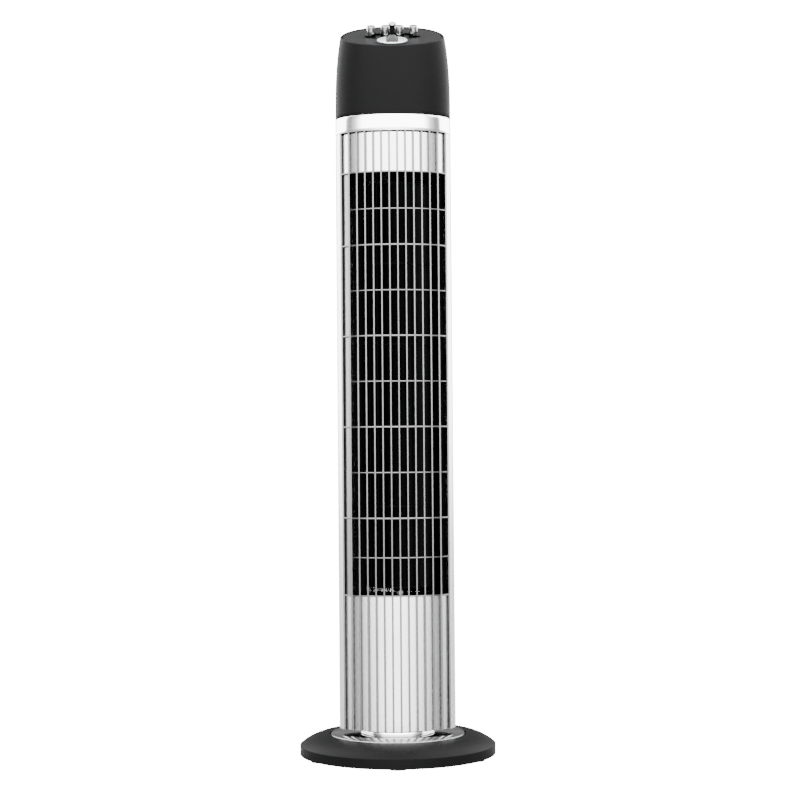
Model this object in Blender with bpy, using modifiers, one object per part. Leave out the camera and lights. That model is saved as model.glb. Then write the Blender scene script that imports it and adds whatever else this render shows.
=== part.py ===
"""Tower fan: a slim oval column that swings on a round base. Metres, +Z up, the air leaves towards -Y.

The origin is on the floor under the swivel axis. The column holds an upright cross-flow impeller with its
motor below it, and the push buttons, the swing knob and the timer stand on the sloping panel on top.
"""

import math

import bmesh
import bpy
from mathutils import Matrix, Vector

# Clearances
GAP = 0.0003
RUNNING_GAP = 0.0003

# Column: an oval, flatter in front than behind
HALF_WIDTH = 0.0594
FRONT_DEPTH = 0.037
REAR_DEPTH = 0.048
COLUMN_HEIGHT = 0.6082
RING_HEIGHT = 0.0165
HOUSING_WALL = 0.0022
RING_WALL = 0.0025
PLATE_THICK = 0.0025
WIRE_HOLE = 0.012

# Front grille
SLOT_COUNT = 13
RIB_PITCH = 0.00825
RIB_WIDTH = 0.0018
GRILLE_THICK = 0.003
BLANK_THICK = 0.0015
WINDOW_SILL = 0.1355
WINDOW_HEIGHT = 0.4319
BARS_EACH_SIDE = 3
MIDDLE_BAR_ABOVE_SILL = 0.218
BAR_PITCH = 0.04625
TOP_BAR_PITCH = 0.0367
BOTTOM_BAR_PITCH = 0.0397
THIN_BAR = 0.0010
THICK_BAR = 0.0015
GRILLE_BORDER = 0.003

# Rear housing
INTAKE_COLUMNS = 9
INTAKE_PITCH = 0.009
INTAKE_WIDTH = 0.0042
INTAKE_ROWS = 5
INTAKE_LENGTH = 0.070
INTAKE_ROW_PITCH = 0.0815
INTAKE_SILL = 0.010
HANDLE_HEIGHT = 0.024
HANDLE_DROP = 0.0035
HANDLE_DEPTH = 0.022
HANDLE_WALL = 0.0015
HOUSING_SCREW_X = 0.030
SCREW_HEAD_RADIUS = 0.0032
SCREW_SHANK_RADIUS = 0.0014
SCREW_LENGTH = 0.010
SCREW_HEAD_HEIGHT = 0.0016
LOWER_SCREW_RISE = 0.0125
GLAND_RADIUS = 0.0055
GLAND_RISE = 0.021
GLAND_LIP = 0.0015
GLAND_LIP_THICK = 0.0018
GLAND_SHANK = 0.0045

# Cap and control panel
CAP_HEIGHT = 0.0868
CAP_WALL = 0.0022
CAP_TAPER = 0.0052
CAP_TAPER_POWER = 2.8
CAP_EDGE = 0.0012
PANEL_TILT = math.radians(26.2)
PANEL_THICK = 0.0025
PANEL_SINK = 0.0006
BUTTON_COUNT = 4
BUTTON_PITCH = 0.0146
BUTTON_BACK = 0.0075
BUTTON_RADIUS = 0.0050
BUTTON_TOP_RADIUS = 0.0044
BUTTON_HEIGHT = 0.0104
BUTTON_TRAVEL = 0.0035
BUTTON_EDGE = 0.0004
KNOB_BACK = 0.0232
KNOB_RADIUS = 0.0046
KNOB_TOP_RADIUS = 0.0039
KNOB_STEM_RADIUS = 0.0028
KNOB_HEAD_HEIGHT = 0.0042
KNOB_HEIGHT = 0.0106
KNOB_TRAVEL = 0.004
STEM_DEPTH = 0.0105
SWITCH_DEPTH = 0.019
SWING_SWITCH_DEPTH = 0.0114
SWITCH_WIDTH = 0.014
SWING_SWITCH_WIDTH = 0.0112
SWING_SWITCH_FORWARD = 0.001
SWITCH_MARGIN = 0.012
SWITCH_POST = 0.004
TIMER_FORWARD = 0.0157
TIMER_STEM_RADIUS = 0.003
DIAL_RADIUS = 0.0157
DIAL_THICK = 0.0006
DIAL_EDGE = 0.0003
DIAL_RING_WIDTH = 0.0028
DIAL_RING_TOP = 0.0012
DIAL_RING_EDGE = 0.0004
GRIP_HEIGHT = 0.0047
GRIP_BASE = 0.0134
GRIP_LENGTH = 0.020
GRIP_CROWN = 0.0056
GRIP_CROWN_LENGTH = 0.0050
GRIP_EDGE = 0.0006
TIMER_BODY_RADIUS = 0.013
TIMER_BODY_DEPTH = 0.020

# Impeller, motor and air duct
IMPELLER_X = 0.004
IMPELLER_Y = 0.005
IMPELLER_RADIUS = 0.033
IMPELLER_SEGMENTS = 5
IMPELLER_BLADES = 12
IMPELLER_FLOOR = 0.0082
IMPELLER_HEIGHT = 0.4135
BLADE_DEPTH = 0.0085
BLADE_THICK = 0.0010
BLADE_PITCH = math.radians(32)
DISC_THICK = 0.0016
SHAFT_RADIUS = 0.004
STUB_RADIUS = 0.003
BUSH_RADIUS = 0.0075
BUSH_LIP = 0.0025
BUSH_LIP_THICK = 0.0017
HUB_RIM = 0.004
DUCT_WALL = 0.0015
DUCT_CLEARANCE = 0.0035
SCROLL_GROWTH = 0.011
SCROLL_START = math.radians(100)
SCROLL_SWEEP = math.radians(120)
DUCT_FRONT_INSET = 0.002
MOTOR_RADIUS = 0.028
ROTOR_RADIUS = 0.0135
STATOR_HEIGHT = 0.026
SHIELD_HEIGHT = 0.014
MOTOR_STAND = 0.0035
SHIELD_WALL = 0.002
CORE_INSET = 0.003
SHAFT_END = 0.003
CAPACITOR_SIZE = (0.014, 0.016, 0.030)
CAPACITOR_BACK = 0.008

# Base
BASE_RADIUS = 0.100
BASE_RIM_HEIGHT = 0.0099
BASE_RISE = 0.0112
DOME_EDGE_SLOPE = math.radians(39)
BASE_WALL = 0.0024
FOOT_HEIGHT = 0.0009
FOOT_RADIUS = 0.010
FOOT_COUNT = 6
FOOT_INSET = 0.0015
DISC_RADIUS = 0.0688
DISC_GROOVE = 0.0012
TRIM_THICK = 0.0027
DOME_SPAN = 0.030
BASE_PLATE_THICK = 0.0016
BASE_SCREW_CIRCLE = 0.055
BASE_SCREW_COUNT = 3
WEIGHT_THICK = 0.0085
WEIGHT_INSET = 0.009
WEIGHT_CLEARANCE = 0.007
TRIM_EDGE = 0.0012
NECK_EDGE = 0.0008
NECK_RADIUS = 0.0385
NECK_WALL = 0.0045
NECK_HEIGHT = 0.0044
POST_RADIUS = 0.013
POST_BORE = 0.008
POST_FLANGE_RADIUS = 0.030
POST_FLANGE_THICK = 0.0022
WASHER_THICK = 0.0015
HUB_WALL = 0.006
HUB_HEIGHT = 0.018
RETAINER_THICK = 0.0018
RETAINER_WIDTH = 0.007
POST_END = 0.003

# Swing drive
CRANK_DISTANCE = 0.016
CRANK_THROW = 0.00975
CRANK_PIN_RADIUS = 0.002
SLOT_CLEARANCE = 0.001
YOKE_THICK = 0.003
CRANK_DISC_RADIUS = 0.013
CRANK_DISC_THICK = 0.003
DRIVE_MOTOR_RADIUS = 0.0235
DRIVE_MOTOR_THICK = 0.014
YOKE_RIM = 0.0045
CRANK_HUB_RADIUS = 0.005
CRANK_CLEARANCE = 0.0015
CRANK_HUB_HEIGHT = 0.003

# Levels that follow, from the floor up
RIM_BOTTOM = FOOT_HEIGHT + GAP
RIM_TOP = RIM_BOTTOM + BASE_RIM_HEIGHT
DOME_TOP = RIM_TOP + BASE_RISE
DOME_RADIUS = BASE_RADIUS - DOME_SPAN
SEAT_LEVEL = DOME_TOP - TRIM_THICK - GAP
TRIM_TOP = SEAT_LEVEL + GAP + TRIM_THICK
FLANGE_BOTTOM = TRIM_TOP + GAP
FLANGE_TOP = FLANGE_BOTTOM + POST_FLANGE_THICK
WASHER_BOTTOM = FLANGE_TOP + GAP
WASHER_TOP = WASHER_BOTTOM + WASHER_THICK
HUB_BOTTOM = WASHER_TOP + GAP
HUB_TOP = HUB_BOTTOM + HUB_HEIGHT
HUB_RADIUS = POST_RADIUS + RUNNING_GAP + HUB_WALL
NECK_BOTTOM = TRIM_TOP + GAP
NECK_TOP = NECK_BOTTOM + NECK_HEIGHT
RETAINER_BOTTOM = HUB_TOP + GAP
RETAINER_TOP = RETAINER_BOTTOM + RETAINER_THICK
POST_TOP = RETAINER_TOP + POST_END
YOKE_BOTTOM = POST_TOP + GAP
YOKE_TOP = YOKE_BOTTOM + YOKE_THICK
CRANK_BOTTOM = YOKE_TOP + CRANK_CLEARANCE
CRANK_TOP = CRANK_BOTTOM + CRANK_DISC_THICK
DRIVE_MOTOR_BOTTOM = CRANK_TOP + CRANK_HUB_HEIGHT
DRIVE_MOTOR_TOP = DRIVE_MOTOR_BOTTOM + DRIVE_MOTOR_THICK
MOTOR_PLATE_BOTTOM = DRIVE_MOTOR_TOP + GAP
MOTOR_PLATE_TOP = MOTOR_PLATE_BOTTOM + PLATE_THICK
LOWER_SHIELD_TOP = MOTOR_PLATE_TOP + GAP + MOTOR_STAND + SHIELD_HEIGHT
STATOR_BOTTOM = LOWER_SHIELD_TOP + GAP
STATOR_TOP = STATOR_BOTTOM + STATOR_HEIGHT
UPPER_SHIELD_BOTTOM = STATOR_TOP + GAP

COLUMN_BOTTOM = NECK_TOP + GAP
COLUMN_TOP = COLUMN_BOTTOM + COLUMN_HEIGHT
RING_BOTTOM = COLUMN_TOP + GAP
RING_TOP = RING_BOTTOM + RING_HEIGHT
CAP_BOTTOM = RING_TOP + GAP
PANEL_LEVEL = CAP_BOTTOM + CAP_HEIGHT
WINDOW_BOTTOM = COLUMN_BOTTOM + WINDOW_SILL
WINDOW_TOP = WINDOW_BOTTOM + WINDOW_HEIGHT
GRILLE_EDGE = SLOT_COUNT * RIB_PITCH / 2 + RIB_WIDTH / 2
BLANK_INSET = GRILLE_THICK + GAP
INNER_INSET = BLANK_INSET + BLANK_THICK + GAP
FLOOR_PLATE_TOP = WINDOW_BOTTOM - GAP
FLOOR_PLATE_BOTTOM = FLOOR_PLATE_TOP - PLATE_THICK
BEARING_PLATE_BOTTOM = WINDOW_TOP + GAP
BEARING_PLATE_TOP = BEARING_PLATE_BOTTOM + PLATE_THICK
IMPELLER_BOTTOM = FLOOR_PLATE_TOP + IMPELLER_FLOOR
IMPELLER_TOP = IMPELLER_BOTTOM + IMPELLER_HEIGHT
HANDLE_TOP = COLUMN_TOP - HANDLE_DROP
HANDLE_BOTTOM = HANDLE_TOP - HANDLE_HEIGHT
HANDLE_HALF_WIDTH = (INTAKE_COLUMNS // 2) * INTAKE_PITCH - INTAKE_WIDTH / 2
UPPER_SCREW_LEVEL = (BEARING_PLATE_TOP + HANDLE_BOTTOM) / 2
LOWER_SCREW_LEVEL = COLUMN_BOTTOM + LOWER_SCREW_RISE
GLAND_LEVEL = COLUMN_BOTTOM + GLAND_RISE

SILVER = ((0.74, 0.75, 0.76), 0.85, 0.28)
BRIGHT = ((0.86, 0.86, 0.87), 1.0, 0.12)
BLACK = ((0.02, 0.02, 0.021), 0.0, 0.45)
PANEL_GREY = ((0.07, 0.07, 0.072), 0.0, 0.5)
DARK_PLASTIC = ((0.012, 0.012, 0.013), 0.0, 0.6)
STEEL = ((0.55, 0.55, 0.56), 1.0, 0.35)
IRON = ((0.16, 0.16, 0.17), 0.8, 0.6)
RUBBER = ((0.03, 0.03, 0.03), 0.0, 0.85)
NATURAL = ((0.82, 0.8, 0.74), 0.0, 0.4)
WHITE = ((0.85, 0.85, 0.86), 0.2, 0.3)


def clear_scene():
    for obj in list(bpy.data.objects):
        bpy.data.objects.remove(obj, do_unlink=True)


def new_collection(name):
    collection = bpy.data.collections.new(name)
    bpy.context.scene.collection.children.link(collection)
    return collection


clear_scene()
PARTS = new_collection("tower_fan")
CUTTERS = new_collection("cutters")


def set_material(obj, look):
    colour, metallic, roughness = look
    material = bpy.data.materials.new(obj.name)
    material.use_nodes = True
    shader = material.node_tree.nodes["Principled BSDF"]
    shader.inputs["Base Color"].default_value = (*colour, 1.0)
    shader.inputs["Metallic"].default_value = metallic
    shader.inputs["Roughness"].default_value = roughness
    obj.data.materials.clear()
    obj.data.materials.append(material)


def shade(obj, angle=35):
    obj.data.shade_smooth()
    obj.data.set_sharp_from_angle(angle=math.radians(angle))


def finish_mesh(bm, name, look=None, parent=None):
    """Makes an object of the bmesh. With a look it is a part, and without one it is a cutter."""
    mesh = bpy.data.meshes.new(name)
    bm.to_mesh(mesh)
    bm.free()
    obj = bpy.data.objects.new(name, mesh)
    if look:
        PARTS.objects.link(obj)
        set_material(obj, look)
        shade(obj)
    else:
        CUTTERS.objects.link(obj)
        obj.hide_render = True
        obj.display_type = "WIRE"
    obj.parent = parent
    return obj


def add_solidify(obj, thickness):
    """Gives an open sheet its thickness, away from the side its faces point to."""
    modifier = obj.modifiers.new("wall", "SOLIDIFY")
    modifier.thickness = thickness
    modifier.offset = -1
    modifier.use_even_offset = True


def add_boolean(obj, other, operation):
    modifier = obj.modifiers.new(operation.lower() + "_" + other.name, "BOOLEAN")
    modifier.operation = operation
    modifier.object = other
    modifier.solver = "EXACT"


def add_turned(name, profile, look=None, steps=48, centre=(0, 0), level=0.0, parent=None, closed=True):
    """Turns the (radius, height) profile about its own upright axis. It runs down the outer side first.

    A closed profile makes a ring. An open one starts and ends on the axis."""
    bm = bmesh.new()
    points = [bm.verts.new((radius, 0, height)) for radius, height in profile]
    for first, second in zip(points, points[1:]):
        bm.edges.new((first, second))
    if closed:
        bm.edges.new((points[-1], points[0]))
    obj = finish_mesh(bm, name, look, parent)
    obj.location = (centre[0], centre[1], level)
    screw = obj.modifiers.new("turn", "SCREW")
    screw.axis = "Z"
    screw.steps = steps
    screw.render_steps = steps
    screw.use_merge_vertices = True
    screw.merge_threshold = 0.00001
    screw.use_smooth_shade = False
    return obj


def ring_profile(outer, inner, low, high, edge=0.0):
    """A rectangular section, with its outer top edge broken by the bevel named edge."""
    top = [(outer - edge, high), (outer, high - edge)] if edge else [(outer, high)]
    return top + [(outer, low), (inner, low), (inner, high)]


def add_ring(name, outer, inner, low, high, look=None, edge=0.0, **place):
    return add_turned(name, ring_profile(outer, inner, low, high, edge), look, **place)


def add_rod(name, radius, low, high, look=None, **place):
    profile = [(0, high), (radius, high), (radius, low), (0, low)]
    return add_turned(name, profile, look, closed=False, **place)


def add_box(name, low, high, look=None, parent=None):
    bm = bmesh.new()
    bmesh.ops.create_cube(bm, size=1)
    size = Vector(high) - Vector(low)
    bmesh.ops.scale(bm, vec=size, verts=bm.verts)
    bmesh.ops.translate(bm, vec=(Vector(high) + Vector(low)) / 2, verts=bm.verts)
    return finish_mesh(bm, name, look, parent)


def add_outline(name, loops, low, high, look=None, parent=None):
    """Extrudes flat closed outlines from low to high. The first is the edge and the others are holes."""
    curve = bpy.data.curves.new(name, "CURVE")
    curve.dimensions = "2D"
    curve.fill_mode = "BOTH"
    curve.extrude = (high - low) / 2
    for loop in loops:
        spline = curve.splines.new("POLY")
        spline.points.add(len(loop) - 1)
        for point, (x, y) in zip(spline.points, loop):
            point.co = (x, y, 0, 1)
        spline.use_cyclic_u = True
    guide = bpy.data.objects.new(name, curve)
    CUTTERS.objects.link(guide)
    bpy.context.view_layer.update()
    graph = bpy.context.evaluated_depsgraph_get()
    mesh = bpy.data.meshes.new_from_object(guide.evaluated_get(graph))
    bpy.data.objects.remove(guide, do_unlink=True)
    bm = bmesh.new()
    bm.from_mesh(mesh)
    bpy.data.meshes.remove(mesh)
    bmesh.ops.remove_doubles(bm, verts=bm.verts, dist=0.000001)
    bmesh.ops.translate(bm, vec=(0, 0, (low + high) / 2), verts=bm.verts)
    bmesh.ops.recalc_face_normals(bm, faces=bm.faces)
    return finish_mesh(bm, name, look, parent)


def circle(radius, centre=(0, 0), count=32):
    turns = [2 * math.pi * step / count for step in range(count)]
    return [(centre[0] + radius * math.cos(turn), centre[1] + radius * math.sin(turn)) for turn in turns]


def wall_point(turn, inset=0.0, scale=1.0):
    """The point of the column's oval at this turn, moved square to the wall by the inset."""
    depth = REAR_DEPTH if math.sin(turn) > 0 else FRONT_DEPTH
    across = HALF_WIDTH * scale
    along = depth * scale
    outward = Vector((math.cos(turn) / across, math.sin(turn) / along)).normalized()
    point = Vector((across * math.cos(turn), along * math.sin(turn))) - outward * inset
    return point.x, point.y


def oval(inset=0.0, count=44, scale=1.0):
    return [wall_point(2 * math.pi * step / count, inset, scale) for step in range(count)]


def front_turn(x):
    return -math.acos(x / HALF_WIDTH)


def rear_turn(x):
    return math.acos(x / HALF_WIDTH)


def add_wall(name, turns, levels, thickness, look, inset=0.0, keep=None):
    """A piece of the column's wall on a grid of turns and levels. keep(column, row) says which cells stay."""
    columns = len(turns) - 1
    rows = len(levels) - 1
    bm = bmesh.new()
    bmesh.ops.create_grid(bm, x_segments=columns, y_segments=rows, size=0.5)
    cells = {}
    for face in bm.faces:
        middle = face.calc_center_median()
        cells[face] = (int((middle.x + 0.5) * columns), int((middle.y + 0.5) * rows))
    for vertex in bm.verts:
        column = round((vertex.co.x + 0.5) * columns)
        row = round((vertex.co.y + 0.5) * rows)
        vertex.co = (*wall_point(turns[column], inset), levels[row])
    if keep:
        dropped = [face for face, cell in cells.items() if not keep(*cell)]
        bmesh.ops.delete(bm, geom=dropped, context="FACES")
    obj = finish_mesh(bm, name, look)
    add_solidify(obj, thickness)
    return obj


def add_oval_plate(name, low, high, look, holes=(), inset=INNER_INSET):
    return add_outline(name, [oval(inset), *holes], low, high, look)


# Front of the column
def bar_list():
    """The level and height of each crossbar, from the lowest up. The window's own edges are bars too."""
    middle = WINDOW_BOTTOM + MIDDLE_BAR_ABOVE_SILL
    reach = BARS_EACH_SIDE * BAR_PITCH
    bars = [
        (middle - reach - BOTTOM_BAR_PITCH, THIN_BAR),
        (middle + reach + TOP_BAR_PITCH, THIN_BAR),
        (WINDOW_BOTTOM + THICK_BAR / 2, THICK_BAR),
        (WINDOW_TOP - THICK_BAR / 2, THICK_BAR),
    ]
    for step in range(-BARS_EACH_SIDE, BARS_EACH_SIDE + 1):
        bars.append((middle + step * BAR_PITCH, THICK_BAR if step % 2 else THIN_BAR))
    return sorted(bars)


def add_front_grille():
    turns = []
    for rib in range(SLOT_COUNT + 1):
        middle = (rib - SLOT_COUNT / 2) * RIB_PITCH
        turns += [front_turn(middle - RIB_WIDTH / 2), front_turn(middle + RIB_WIDTH / 2)]
    bars = bar_list()
    levels = [COLUMN_BOTTOM, COLUMN_BOTTOM + GRILLE_BORDER]
    for level, height in bars:
        levels += [level - height / 2, level + height / 2]
    levels += [COLUMN_TOP - GRILLE_BORDER, COLUMN_TOP]

    def keep(column, row):
        if column % 2 == 0:
            return True
        if row % 2:
            return False
        if row in (0, len(levels) - 2):
            return True
        return column > 1 or bars[row // 2 - 1][1] == THICK_BAR

    return add_wall("front_grille", turns, levels, GRILLE_THICK, SILVER, keep=keep)


def spread(first, last, count):
    return [first + (last - first) * step / count for step in range(count + 1)]


def add_front_blanks():
    edge = GRILLE_EDGE - RIB_WIDTH / 2
    across = [front_turn(x) for x in spread(-edge, edge, 2 * SLOT_COUNT)]
    add_wall(
        "upper_blank", across, [WINDOW_TOP, COLUMN_TOP - GAP], BLANK_THICK, SILVER, inset=BLANK_INSET
    )
    add_wall(
        "lower_blank", across, [COLUMN_BOTTOM + GAP, WINDOW_BOTTOM], BLANK_THICK, SILVER, inset=BLANK_INSET
    )
    strip = [front_turn(x) for x in spread(-edge, -edge + RIB_PITCH, 4)]
    levels = [WINDOW_BOTTOM + GAP, WINDOW_TOP - GAP]
    add_wall("side_strip", strip, levels, BLANK_THICK, SILVER, inset=BLANK_INSET)


# Back of the column
def add_rear_housing():
    edge = front_turn(GRILLE_EDGE) + math.radians(0.5)
    side = [edge] + spread(edge + math.radians(2.5), rear_turn((INTAKE_COLUMNS / 2) * INTAKE_PITCH), 5)
    slots = []
    for slot in range(INTAKE_COLUMNS):
        middle = (INTAKE_COLUMNS // 2 - slot) * INTAKE_PITCH
        slots += [rear_turn(middle + INTAKE_WIDTH / 2), rear_turn(middle - INTAKE_WIDTH / 2)]
    turns = side + slots + [math.pi - turn for turn in reversed(side)]
    first_slot = len(side)
    levels = [COLUMN_BOTTOM]
    for row in range(INTAKE_ROWS):
        low = WINDOW_BOTTOM + INTAKE_SILL + row * INTAKE_ROW_PITCH
        levels += [low, low + INTAKE_LENGTH]
    handle_row = len(levels)
    levels += [HANDLE_BOTTOM, HANDLE_TOP, COLUMN_TOP]

    def keep(column, row):
        from_slot = column - first_slot
        in_slots = 0 <= from_slot < 2 * INTAKE_COLUMNS - 1
        if row == handle_row:
            return not 1 <= from_slot < 2 * INTAKE_COLUMNS - 2
        in_row = row % 2 == 1 and row < handle_row
        return not (in_slots and in_row and from_slot % 2 == 0)

    housing = add_wall("rear_housing", turns, levels, HOUSING_WALL, SILVER, keep=keep)
    for x, level in screw_places():
        hole = add_rod("screw_cutter", SCREW_HEAD_RADIUS + GAP, 0, 2 * REAR_DEPTH, steps=12)
        hole.rotation_euler = (-math.pi / 2, 0, 0)
        hole.location = (x, 0, level)
        add_boolean(housing, hole, "DIFFERENCE")
    gland = add_rod("gland_cutter", GLAND_RADIUS, 0, 2 * REAR_DEPTH, steps=16)
    gland.rotation_euler = (-math.pi / 2, 0, 0)
    gland.location = (0, 0, GLAND_LEVEL)
    add_boolean(housing, gland, "DIFFERENCE")


def screw_places():
    levels = (LOWER_SCREW_LEVEL, UPPER_SCREW_LEVEL)
    return [(x, level) for level in levels for x in (-HOUSING_SCREW_X, HOUSING_SCREW_X)]


def add_housing_screws():
    """Four pan-head screws, each with its head let into the back of the column."""
    profile = [
        (0, SCREW_HEAD_HEIGHT),
        (SCREW_HEAD_RADIUS * 0.7, SCREW_HEAD_HEIGHT * 0.9),
        (SCREW_HEAD_RADIUS, SCREW_HEAD_HEIGHT / 4),
        (SCREW_HEAD_RADIUS, 0),
        (SCREW_SHANK_RADIUS, 0),
        (SCREW_SHANK_RADIUS, -SCREW_LENGTH),
        (0, -SCREW_LENGTH - 0.001),
    ]
    for number, (x, level) in enumerate(screw_places(), 1):
        screw = add_turned(f"housing_screw_{number}", profile, STEEL, steps=12, closed=False)
        screw.rotation_euler = (-math.pi / 2, 0, 0)
        screw.location = (x, wall_point(rear_turn(x))[1] - HOUSING_WALL * 0.8, level)


def add_cord_gland():
    """A plain bush in the back of the column, where the mains lead leaves it."""
    bore = GLAND_RADIUS * 0.5
    shank = GLAND_RADIUS - GAP
    lip = GLAND_RADIUS + GLAND_LIP
    profile = [
        (shank, GLAND_SHANK * 0.8),
        (shank, 0),
        (lip, 0),
        (lip, -GLAND_LIP_THICK),
        (bore, -GLAND_LIP_THICK),
        (bore, GLAND_SHANK),
        (shank * 0.8, GLAND_SHANK),
    ]
    gland = add_turned("cord_gland", profile, RUBBER, steps=16)
    gland.rotation_euler = (-math.pi / 2, 0, 0)
    gland.location = (0, wall_point(rear_turn(lip), HOUSING_WALL)[1] - GAP, GLAND_LEVEL)


def add_carry_handle():
    """A finger cup let into the back of the column. Its mouth follows the column's oval."""
    half = wall_point(rear_turn(HANDLE_HALF_WIDTH), HOUSING_WALL)[0] - GAP
    outer = add_box(
        "carry_handle",
        (-half, REAR_DEPTH - HANDLE_DEPTH, HANDLE_BOTTOM + GAP),
        (half, 1.2 * REAR_DEPTH, HANDLE_TOP - GAP),
        BLACK,
    )
    inner = add_box(
        "handle_cutter",
        (-half + HANDLE_WALL, REAR_DEPTH - HANDLE_DEPTH + HANDLE_WALL, HANDLE_BOTTOM + GAP + HANDLE_WALL),
        (half - HANDLE_WALL, 1.3 * REAR_DEPTH, HANDLE_TOP - GAP - HANDLE_WALL),
    )
    mouth = add_outline("handle_mouth", [oval(GAP)], HANDLE_BOTTOM - GAP, HANDLE_TOP + GAP)
    add_boolean(outer, mouth, "INTERSECT")
    add_boolean(outer, inner, "DIFFERENCE")


# Top of the column
def cap_scale(share):
    """How much the cap has narrowed at this share of its height."""
    return 1 - CAP_TAPER / HALF_WIDTH * share**CAP_TAPER_POWER


def panel_height(y):
    return PANEL_LEVEL + math.tan(PANEL_TILT) * y


def add_top_cap():
    """A shell that narrows upwards and ends on the sloping plane of the panel."""
    shares = (0, 0.4, 0.65, 0.85, 1.0)
    rows = []
    for share in shares:
        rim = oval(scale=cap_scale(share))
        rows.append([(x, y, CAP_BOTTOM + share * (panel_height(y) - CAP_EDGE - CAP_BOTTOM)) for x, y in rim])
    for inset, drop in ((CAP_EDGE * 0.3, CAP_EDGE * 0.3), (CAP_EDGE, 0.0)):
        rim = oval(inset, scale=cap_scale(1))
        rows.append([(x, y, panel_height(y) - drop) for x, y in rim])
    bm = bmesh.new()
    bmesh.ops.create_circle(bm, cap_ends=False, segments=len(rows[0]), radius=1)
    bm.verts.ensure_lookup_table()
    ring = list(bm.verts)
    edges = list(bm.edges)
    for vertex, place in zip(ring, rows[0]):
        vertex.co = place
    for row in rows[1:]:
        made = bmesh.ops.extrude_edge_only(bm, edges=edges)["geom"]
        fresh = [item for item in made if isinstance(item, bmesh.types.BMVert)]
        below = {tuple(vertex.co): index for index, vertex in enumerate(ring)}
        ring = sorted(fresh, key=lambda vertex: below[tuple(vertex.co)])
        edges = [item for item in made if isinstance(item, bmesh.types.BMEdge) and item.is_boundary]
        for vertex, place in zip(ring, row):
            vertex.co = place
    bmesh.ops.recalc_face_normals(bm, faces=bm.faces)
    side = next(iter(bm.faces))
    if side.normal.dot(side.calc_center_median() * Vector((1, 1, 0))) < 0:
        bmesh.ops.reverse_faces(bm, faces=bm.faces)
    cap = finish_mesh(bm, "top_cap", BLACK)
    add_solidify(cap, CAP_WALL)


def panel_frame():
    """An empty on the panel's face, turned so that its own Z is square to the panel."""
    empty = bpy.data.objects.new("panel_frame", None)
    CUTTERS.objects.link(empty)
    empty.location = (0, 0, PANEL_LEVEL - PANEL_SINK)
    empty.rotation_euler = (PANEL_TILT, 0, 0)
    return empty


def button_places():
    return [((step - (BUTTON_COUNT - 1) / 2) * BUTTON_PITCH, BUTTON_BACK) for step in range(BUTTON_COUNT)]


def add_control_panel(frame):
    """A sloping plate inside the cap's rim, with a hole for each button, for the knob and for the timer."""
    inset = CAP_WALL + GAP + CAP_EDGE * 0.5
    panel = add_outline("control_panel", [oval(inset, scale=cap_scale(1))], -PANEL_THICK, 0, PANEL_GREY)
    for vertex in panel.data.vertices:
        vertex.co.z += panel_height(vertex.co.y) - PANEL_SINK
    holes = [(place, BUTTON_RADIUS + RUNNING_GAP) for place in button_places()]
    holes.append(((0, KNOB_BACK), KNOB_STEM_RADIUS + RUNNING_GAP))
    holes.append(((0, -TIMER_FORWARD), TIMER_STEM_RADIUS + RUNNING_GAP))
    reach = 4 * PANEL_THICK
    for place, radius in holes:
        cutter = add_rod("panel_cutter", radius, -reach, reach, steps=20, centre=place, parent=frame)
        add_boolean(panel, cutter, "DIFFERENCE")


def add_buttons(frame):
    """Straight pillars with a broken top edge, which run on through the panel to the switch."""
    profile = [
        (0, BUTTON_HEIGHT),
        (BUTTON_TOP_RADIUS - BUTTON_EDGE, BUTTON_HEIGHT),
        (BUTTON_TOP_RADIUS, BUTTON_HEIGHT - BUTTON_EDGE),
        (BUTTON_RADIUS, 0),
        (BUTTON_RADIUS, -STEM_DEPTH),
        (0, -STEM_DEPTH),
    ]
    for number, place in enumerate(button_places()):
        name = "off_button" if number == 0 else f"speed_button_{number}"
        add_turned(name, profile, BRIGHT, steps=20, centre=place, parent=frame, closed=False)


def add_swing_knob(frame):
    """A round head on a thinner stem, which runs through the panel to the swing switch."""
    neck = KNOB_HEIGHT - KNOB_HEAD_HEIGHT
    profile = [
        (0, KNOB_HEIGHT),
        (KNOB_TOP_RADIUS - BUTTON_EDGE, KNOB_HEIGHT),
        (KNOB_TOP_RADIUS, KNOB_HEIGHT - BUTTON_EDGE),
        (KNOB_RADIUS, neck + KNOB_HEAD_HEIGHT / 2),
        (KNOB_RADIUS - BUTTON_EDGE, neck),
        (KNOB_STEM_RADIUS, neck),
        (KNOB_STEM_RADIUS, -STEM_DEPTH),
        (0, -STEM_DEPTH),
    ]
    add_turned("swing_knob", profile, BRIGHT, steps=20, centre=(0, KNOB_BACK), parent=frame, closed=False)


def add_switches(frame):
    """The push-button switch and the swing switch hang under the panel on two legs each."""
    top = -PANEL_THICK / math.cos(PANEL_TILT) - GAP
    ledge = -STEM_DEPTH - KNOB_TRAVEL - GAP
    row = (BUTTON_COUNT - 1) / 2 * BUTTON_PITCH + SWITCH_MARGIN
    knob_row = KNOB_BACK - SWING_SWITCH_FORWARD
    for name, half, back, width, depth in (
        ("speed_switch", row, BUTTON_BACK, SWITCH_WIDTH, SWITCH_DEPTH),
        ("swing_switch", SWITCH_MARGIN, knob_row, SWING_SWITCH_WIDTH, SWING_SWITCH_DEPTH),
    ):
        inner = half - SWITCH_POST
        sides = [(half, ledge - depth), (half, top), (inner, top), (inner, ledge)]
        outline = sides + [(-x, z) for x, z in reversed(sides)]
        switch = add_outline(name, [outline], -width / 2, width / 2, DARK_PLASTIC, parent=frame)
        switch.data.transform(Matrix.Rotation(math.pi / 2, 4, "X"))
        switch.location = (0, back, 0)


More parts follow.
